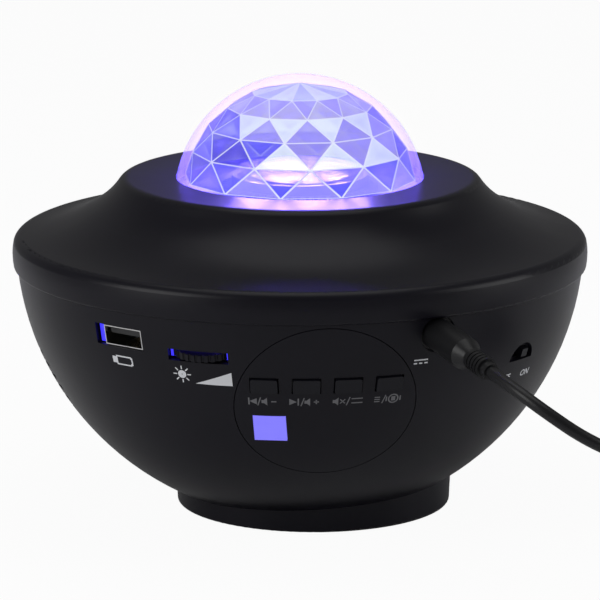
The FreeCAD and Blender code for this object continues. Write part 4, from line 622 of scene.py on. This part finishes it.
def make_facet_glow_film():
    """One triangle per facet, with its painted glow tone and its edge distance as attributes."""
    rings, apex = facet_rings()
    shape = bmesh.new()
    edge_map = shape.loops.layers.uv.new("facet")
    shade_layer = shape.loops.layers.float_color.new("shade")

    def add(corners, shade):
        face = shape.faces.new([shape.verts.new(corner) for corner in corners])
        for loop, spot in zip(face.loops, ((0, 0), (1, 0), (0, 1))):
            loop[edge_map].uv = spot
            loop[shade_layer] = (*shade, 1)

    for index in range(FACET_SIDES):
        after = (index + 1) % FACET_SIDES
        for level in range(FACET_ROWS):
            low, high = rings[level], rings[level + 1]
            top, base = (after, index) if level % 2 == 0 else (index, after)
            add((low[index], low[after], high[top]), facet_glow_tone(level, index, True))
            add((low[base], high[after], high[index]), facet_glow_tone(level, index, False))
        cap = rings[FACET_ROWS]
        add((cap[index], cap[after], apex), facet_glow_tone(FACET_ROWS, index, True))
    mesh = bpy.data.meshes.new("facet_glow_film")
    shape.to_mesh(mesh)
    shape.free()
    new_piece("facet_glow_film", mesh, facet_light())


def facet_light():
    """Thin film of painted glow: each facet's painted tone, with painted glints as bright lines where
    facets meet.
    """
    material, tree, shader = new_material("facet_light")
    shade = tree.nodes.new("ShaderNodeVertexColor")
    shade.layer_name = "shade"
    spot = tree.nodes.new("ShaderNodeUVMap")
    spot.uv_map = "facet"
    split = tree.nodes.new("ShaderNodeSeparateXYZ")
    tree.links.new(spot.outputs["UV"], split.inputs["Vector"])
    total = add_math(tree, "ADD", split.outputs["X"], split.outputs["Y"])
    third = add_math(tree, "SUBTRACT", 1.0, total)
    nearest = add_math(tree, "MINIMUM", split.outputs["X"], split.outputs["Y"])
    nearest = add_math(tree, "MINIMUM", nearest, third)
    # Painted glint: a thin line along the edges of each facet.
    line = add_math(tree, "LESS_THAN", nearest, EDGE_LINE)
    fade = tree.nodes.new("ShaderNodeMapRange")
    fade.inputs["From Max"].default_value = MIDDLE_DISTANCE
    fade.inputs["To Min"].default_value = EDGE_COVER
    fade.inputs["To Max"].default_value = MIDDLE_COVER
    tree.links.new(nearest, fade.inputs["Value"])
    mix = tree.nodes.new("ShaderNodeMix")
    mix.data_type = "RGBA"
    mix.inputs["B"].default_value = (*EDGE_GLINT_COLOUR, 1)
    tree.links.new(add_math(tree, "MULTIPLY", line, EDGE_GLINT_SHARE), mix.inputs["Factor"])
    tree.links.new(shade.outputs["Color"], mix.inputs["A"])
    tree.links.new(mix.outputs["Result"], shader.inputs["Emission Color"])
    shader.inputs["Emission Strength"].default_value = 1.0
    shader.inputs["Base Color"].default_value = (0.0, 0.0, 0.0, 1)
    shader.inputs["Specular IOR Level"].default_value = 0.0
    path = tree.nodes.new("ShaderNodeLightPath")
    solid = add_math(tree, "SUBTRACT", 1.0, path.outputs["Is Shadow Ray"])
    cover = add_math(tree, "MAXIMUM", fade.outputs["Result"], line)
    tree.links.new(add_math(tree, "MULTIPLY", cover, solid), shader.inputs["Alpha"])
    return material


def make_contacts():
    """Gold contacts under the socket's tongue."""
    under_tongue = on_bowl(*USB_PLACE) @ Matrix.Translation(Vector((0, 0.02, -7.1)) * MM)
    make_bar_row("usb_contacts", 4, 2.3 * MM, (1.1 * MM, 0.16 * MM, 9.0 * MM), gold_plate, under_tongue)


def make_light_leaks():
    """Lit strips of painted glow behind the gaps of the socket and the wheel, standing for light leaking
    out.
    """
    strips = {
        "usb_leak": (USB_PLACE, (-8.15, 0.0, -1.9), (2.0, 5.6)),
        "wheel_leak_left": (WHEEL_PLACE, (-7.4, 0.1, -2.1), (2.4, 2.6)),
        "wheel_leak_right": (WHEEL_PLACE, (7.6, 0.1, -2.1), (1.8, 2.4)),
    }
    for name, (wall_place, middle, (width, height)) in strips.items():
        mesh = bpy.data.meshes.new(name)
        shape = bmesh.new()
        bmesh.ops.create_grid(shape, x_segments=3, y_segments=3, size=0.5)
        place = on_bowl(*wall_place) @ Matrix.Translation(Vector(middle) * MM)
        shape.transform(place @ Matrix.Diagonal((width * MM, height * MM, 1, 1)))
        shape.to_mesh(mesh)
        shape.free()
        new_piece(name, mesh, leak_painted_glow)


def aim(obj, target):
    """Turn a lamp or camera to a point."""
    direction = Vector(target) - obj.location
    obj.rotation_euler = direction.to_track_quat("-Z", "Y").to_euler()


def view_direction(azimuth, elevation):
    """From the object towards the viewer."""
    az, el = math.radians(azimuth), math.radians(elevation)
    return Vector((math.sin(az) * math.cos(el), -math.cos(az) * math.cos(el), math.sin(el)))


CAMERA_AZIMUTH = -5.6
CAMERA_ELEVATION = 12.6
CAMERA_DISTANCE = 1.4
SENSOR_WIDTH = 36
FRAME_WIDTH = 0.1728
CAMERA_TARGET = Vector((0, 0, 0.0593))


def make_camera():
    """The camera at the photograph's angle."""
    data = bpy.data.cameras.new("camera")
    data.sensor_width = SENSOR_WIDTH
    data.lens = SENSOR_WIDTH * CAMERA_DISTANCE / FRAME_WIDTH
    data.clip_end = 20
    camera = bpy.data.objects.new("camera", data)
    scene.collection.objects.link(camera)
    camera.location = CAMERA_TARGET + view_direction(CAMERA_AZIMUTH, CAMERA_ELEVATION) * CAMERA_DISTANCE
    aim(camera, CAMERA_TARGET)
    scene.camera = camera


FLOOR_SIZE = 4
FLOOR_GLOW = 0.95
STUDIO_FILL = 0.18


def seen_directly(tree):
    """1 for what the camera sees, straight or through clear plastic."""
    path = tree.nodes.new("ShaderNodeLightPath")
    return add_math(tree, "MAXIMUM", path.outputs["Is Camera Ray"], path.outputs["Is Transmission Ray"])


def make_floor():
    """A pale floor that reads as white to the camera and keeps the shadow."""
    mesh = bpy.data.meshes.new("floor")
    shape = bmesh.new()
    bmesh.ops.create_grid(shape, x_segments=1, y_segments=1, size=FLOOR_SIZE)
    shape.to_mesh(mesh)
    shape.free()
    floor = bpy.data.objects.new("floor", mesh)
    scene.collection.objects.link(floor)
    material, tree, shader = new_material("pale_floor")
    shader.inputs["Base Color"].default_value = (0.9, 0.9, 0.91, 1)
    shader.inputs["Roughness"].default_value = 0.6
    glow = tree.nodes.new("ShaderNodeEmission")
    glow.inputs["Color"].default_value = (1, 1, 1, 1)
    mix = tree.nodes.new("ShaderNodeMixShader")
    share = add_math(tree, "MULTIPLY", seen_directly(tree), FLOOR_GLOW)
    tree.links.new(share, mix.inputs[0])
    tree.links.new(shader.outputs["BSDF"], mix.inputs[1])
    tree.links.new(glow.outputs["Emission"], mix.inputs[2])
    tree.links.new(mix.outputs["Shader"], tree.nodes["Material Output"].inputs["Surface"])
    mesh.materials.append(material)


def make_world():
    """White where it is seen directly, a soft fill elsewhere."""
    world = bpy.data.worlds.new("studio")
    scene.world = world
    world.use_nodes = True
    tree = world.node_tree
    background = tree.nodes["Background"]
    background.inputs["Color"].default_value = (1, 1, 1, 1)
    shown = add_math(tree, "MULTIPLY", seen_directly(tree), 1 - STUDIO_FILL)
    tree.links.new(add_math(tree, "ADD", shown, STUDIO_FILL), background.inputs["Strength"])


LAMP_TARGET = (0, 0, 0.06)

# Each lamp's name, place, width and watts.
LAMPS = (
    ("left_panel", (-1.1, -0.5, 0.55), 0.8, 7),
    ("right_panel", (1.2, -0.2, 0.5), 0.8, 5),
    ("top_panel", (0, 0.1, 1.3), 1.0, 4),
)


def make_studio_lamps():
    """Soft square lamps round the object."""
    for name, location, width, power in LAMPS:
        data = bpy.data.lights.new(name, "AREA")
        data.shape = "RECTANGLE"
        data.size = data.size_y = width
        data.energy = power
        lamp = bpy.data.objects.new(name, data)
        scene.collection.objects.link(lamp)
        lamp.location = location
        aim(lamp, LAMP_TARGET)


def make_dome_glow():
    """The light's own glow under the dome, which is seen only on what it lights."""
    data = bpy.data.lights.new("dome_glow", "POINT")
    data.energy = 2.6
    data.color = (0.22, 0.14, 1.0)
    data.shadow_soft_size = 0.022
    lamp = bpy.data.objects.new("dome_glow", data)
    scene.collection.objects.link(lamp)
    lamp.location = (0, 0, 0.100)
    lamp.visible_camera = False
    lamp.visible_transmission = False


finish_nodes()
print_key_marks()
print_wall_marks()
make_cord()
make_facet_glow_film()
make_contacts()
make_light_leaks()
make_floor()
make_world()
make_studio_lamps()
make_dome_glow()
make_camera()
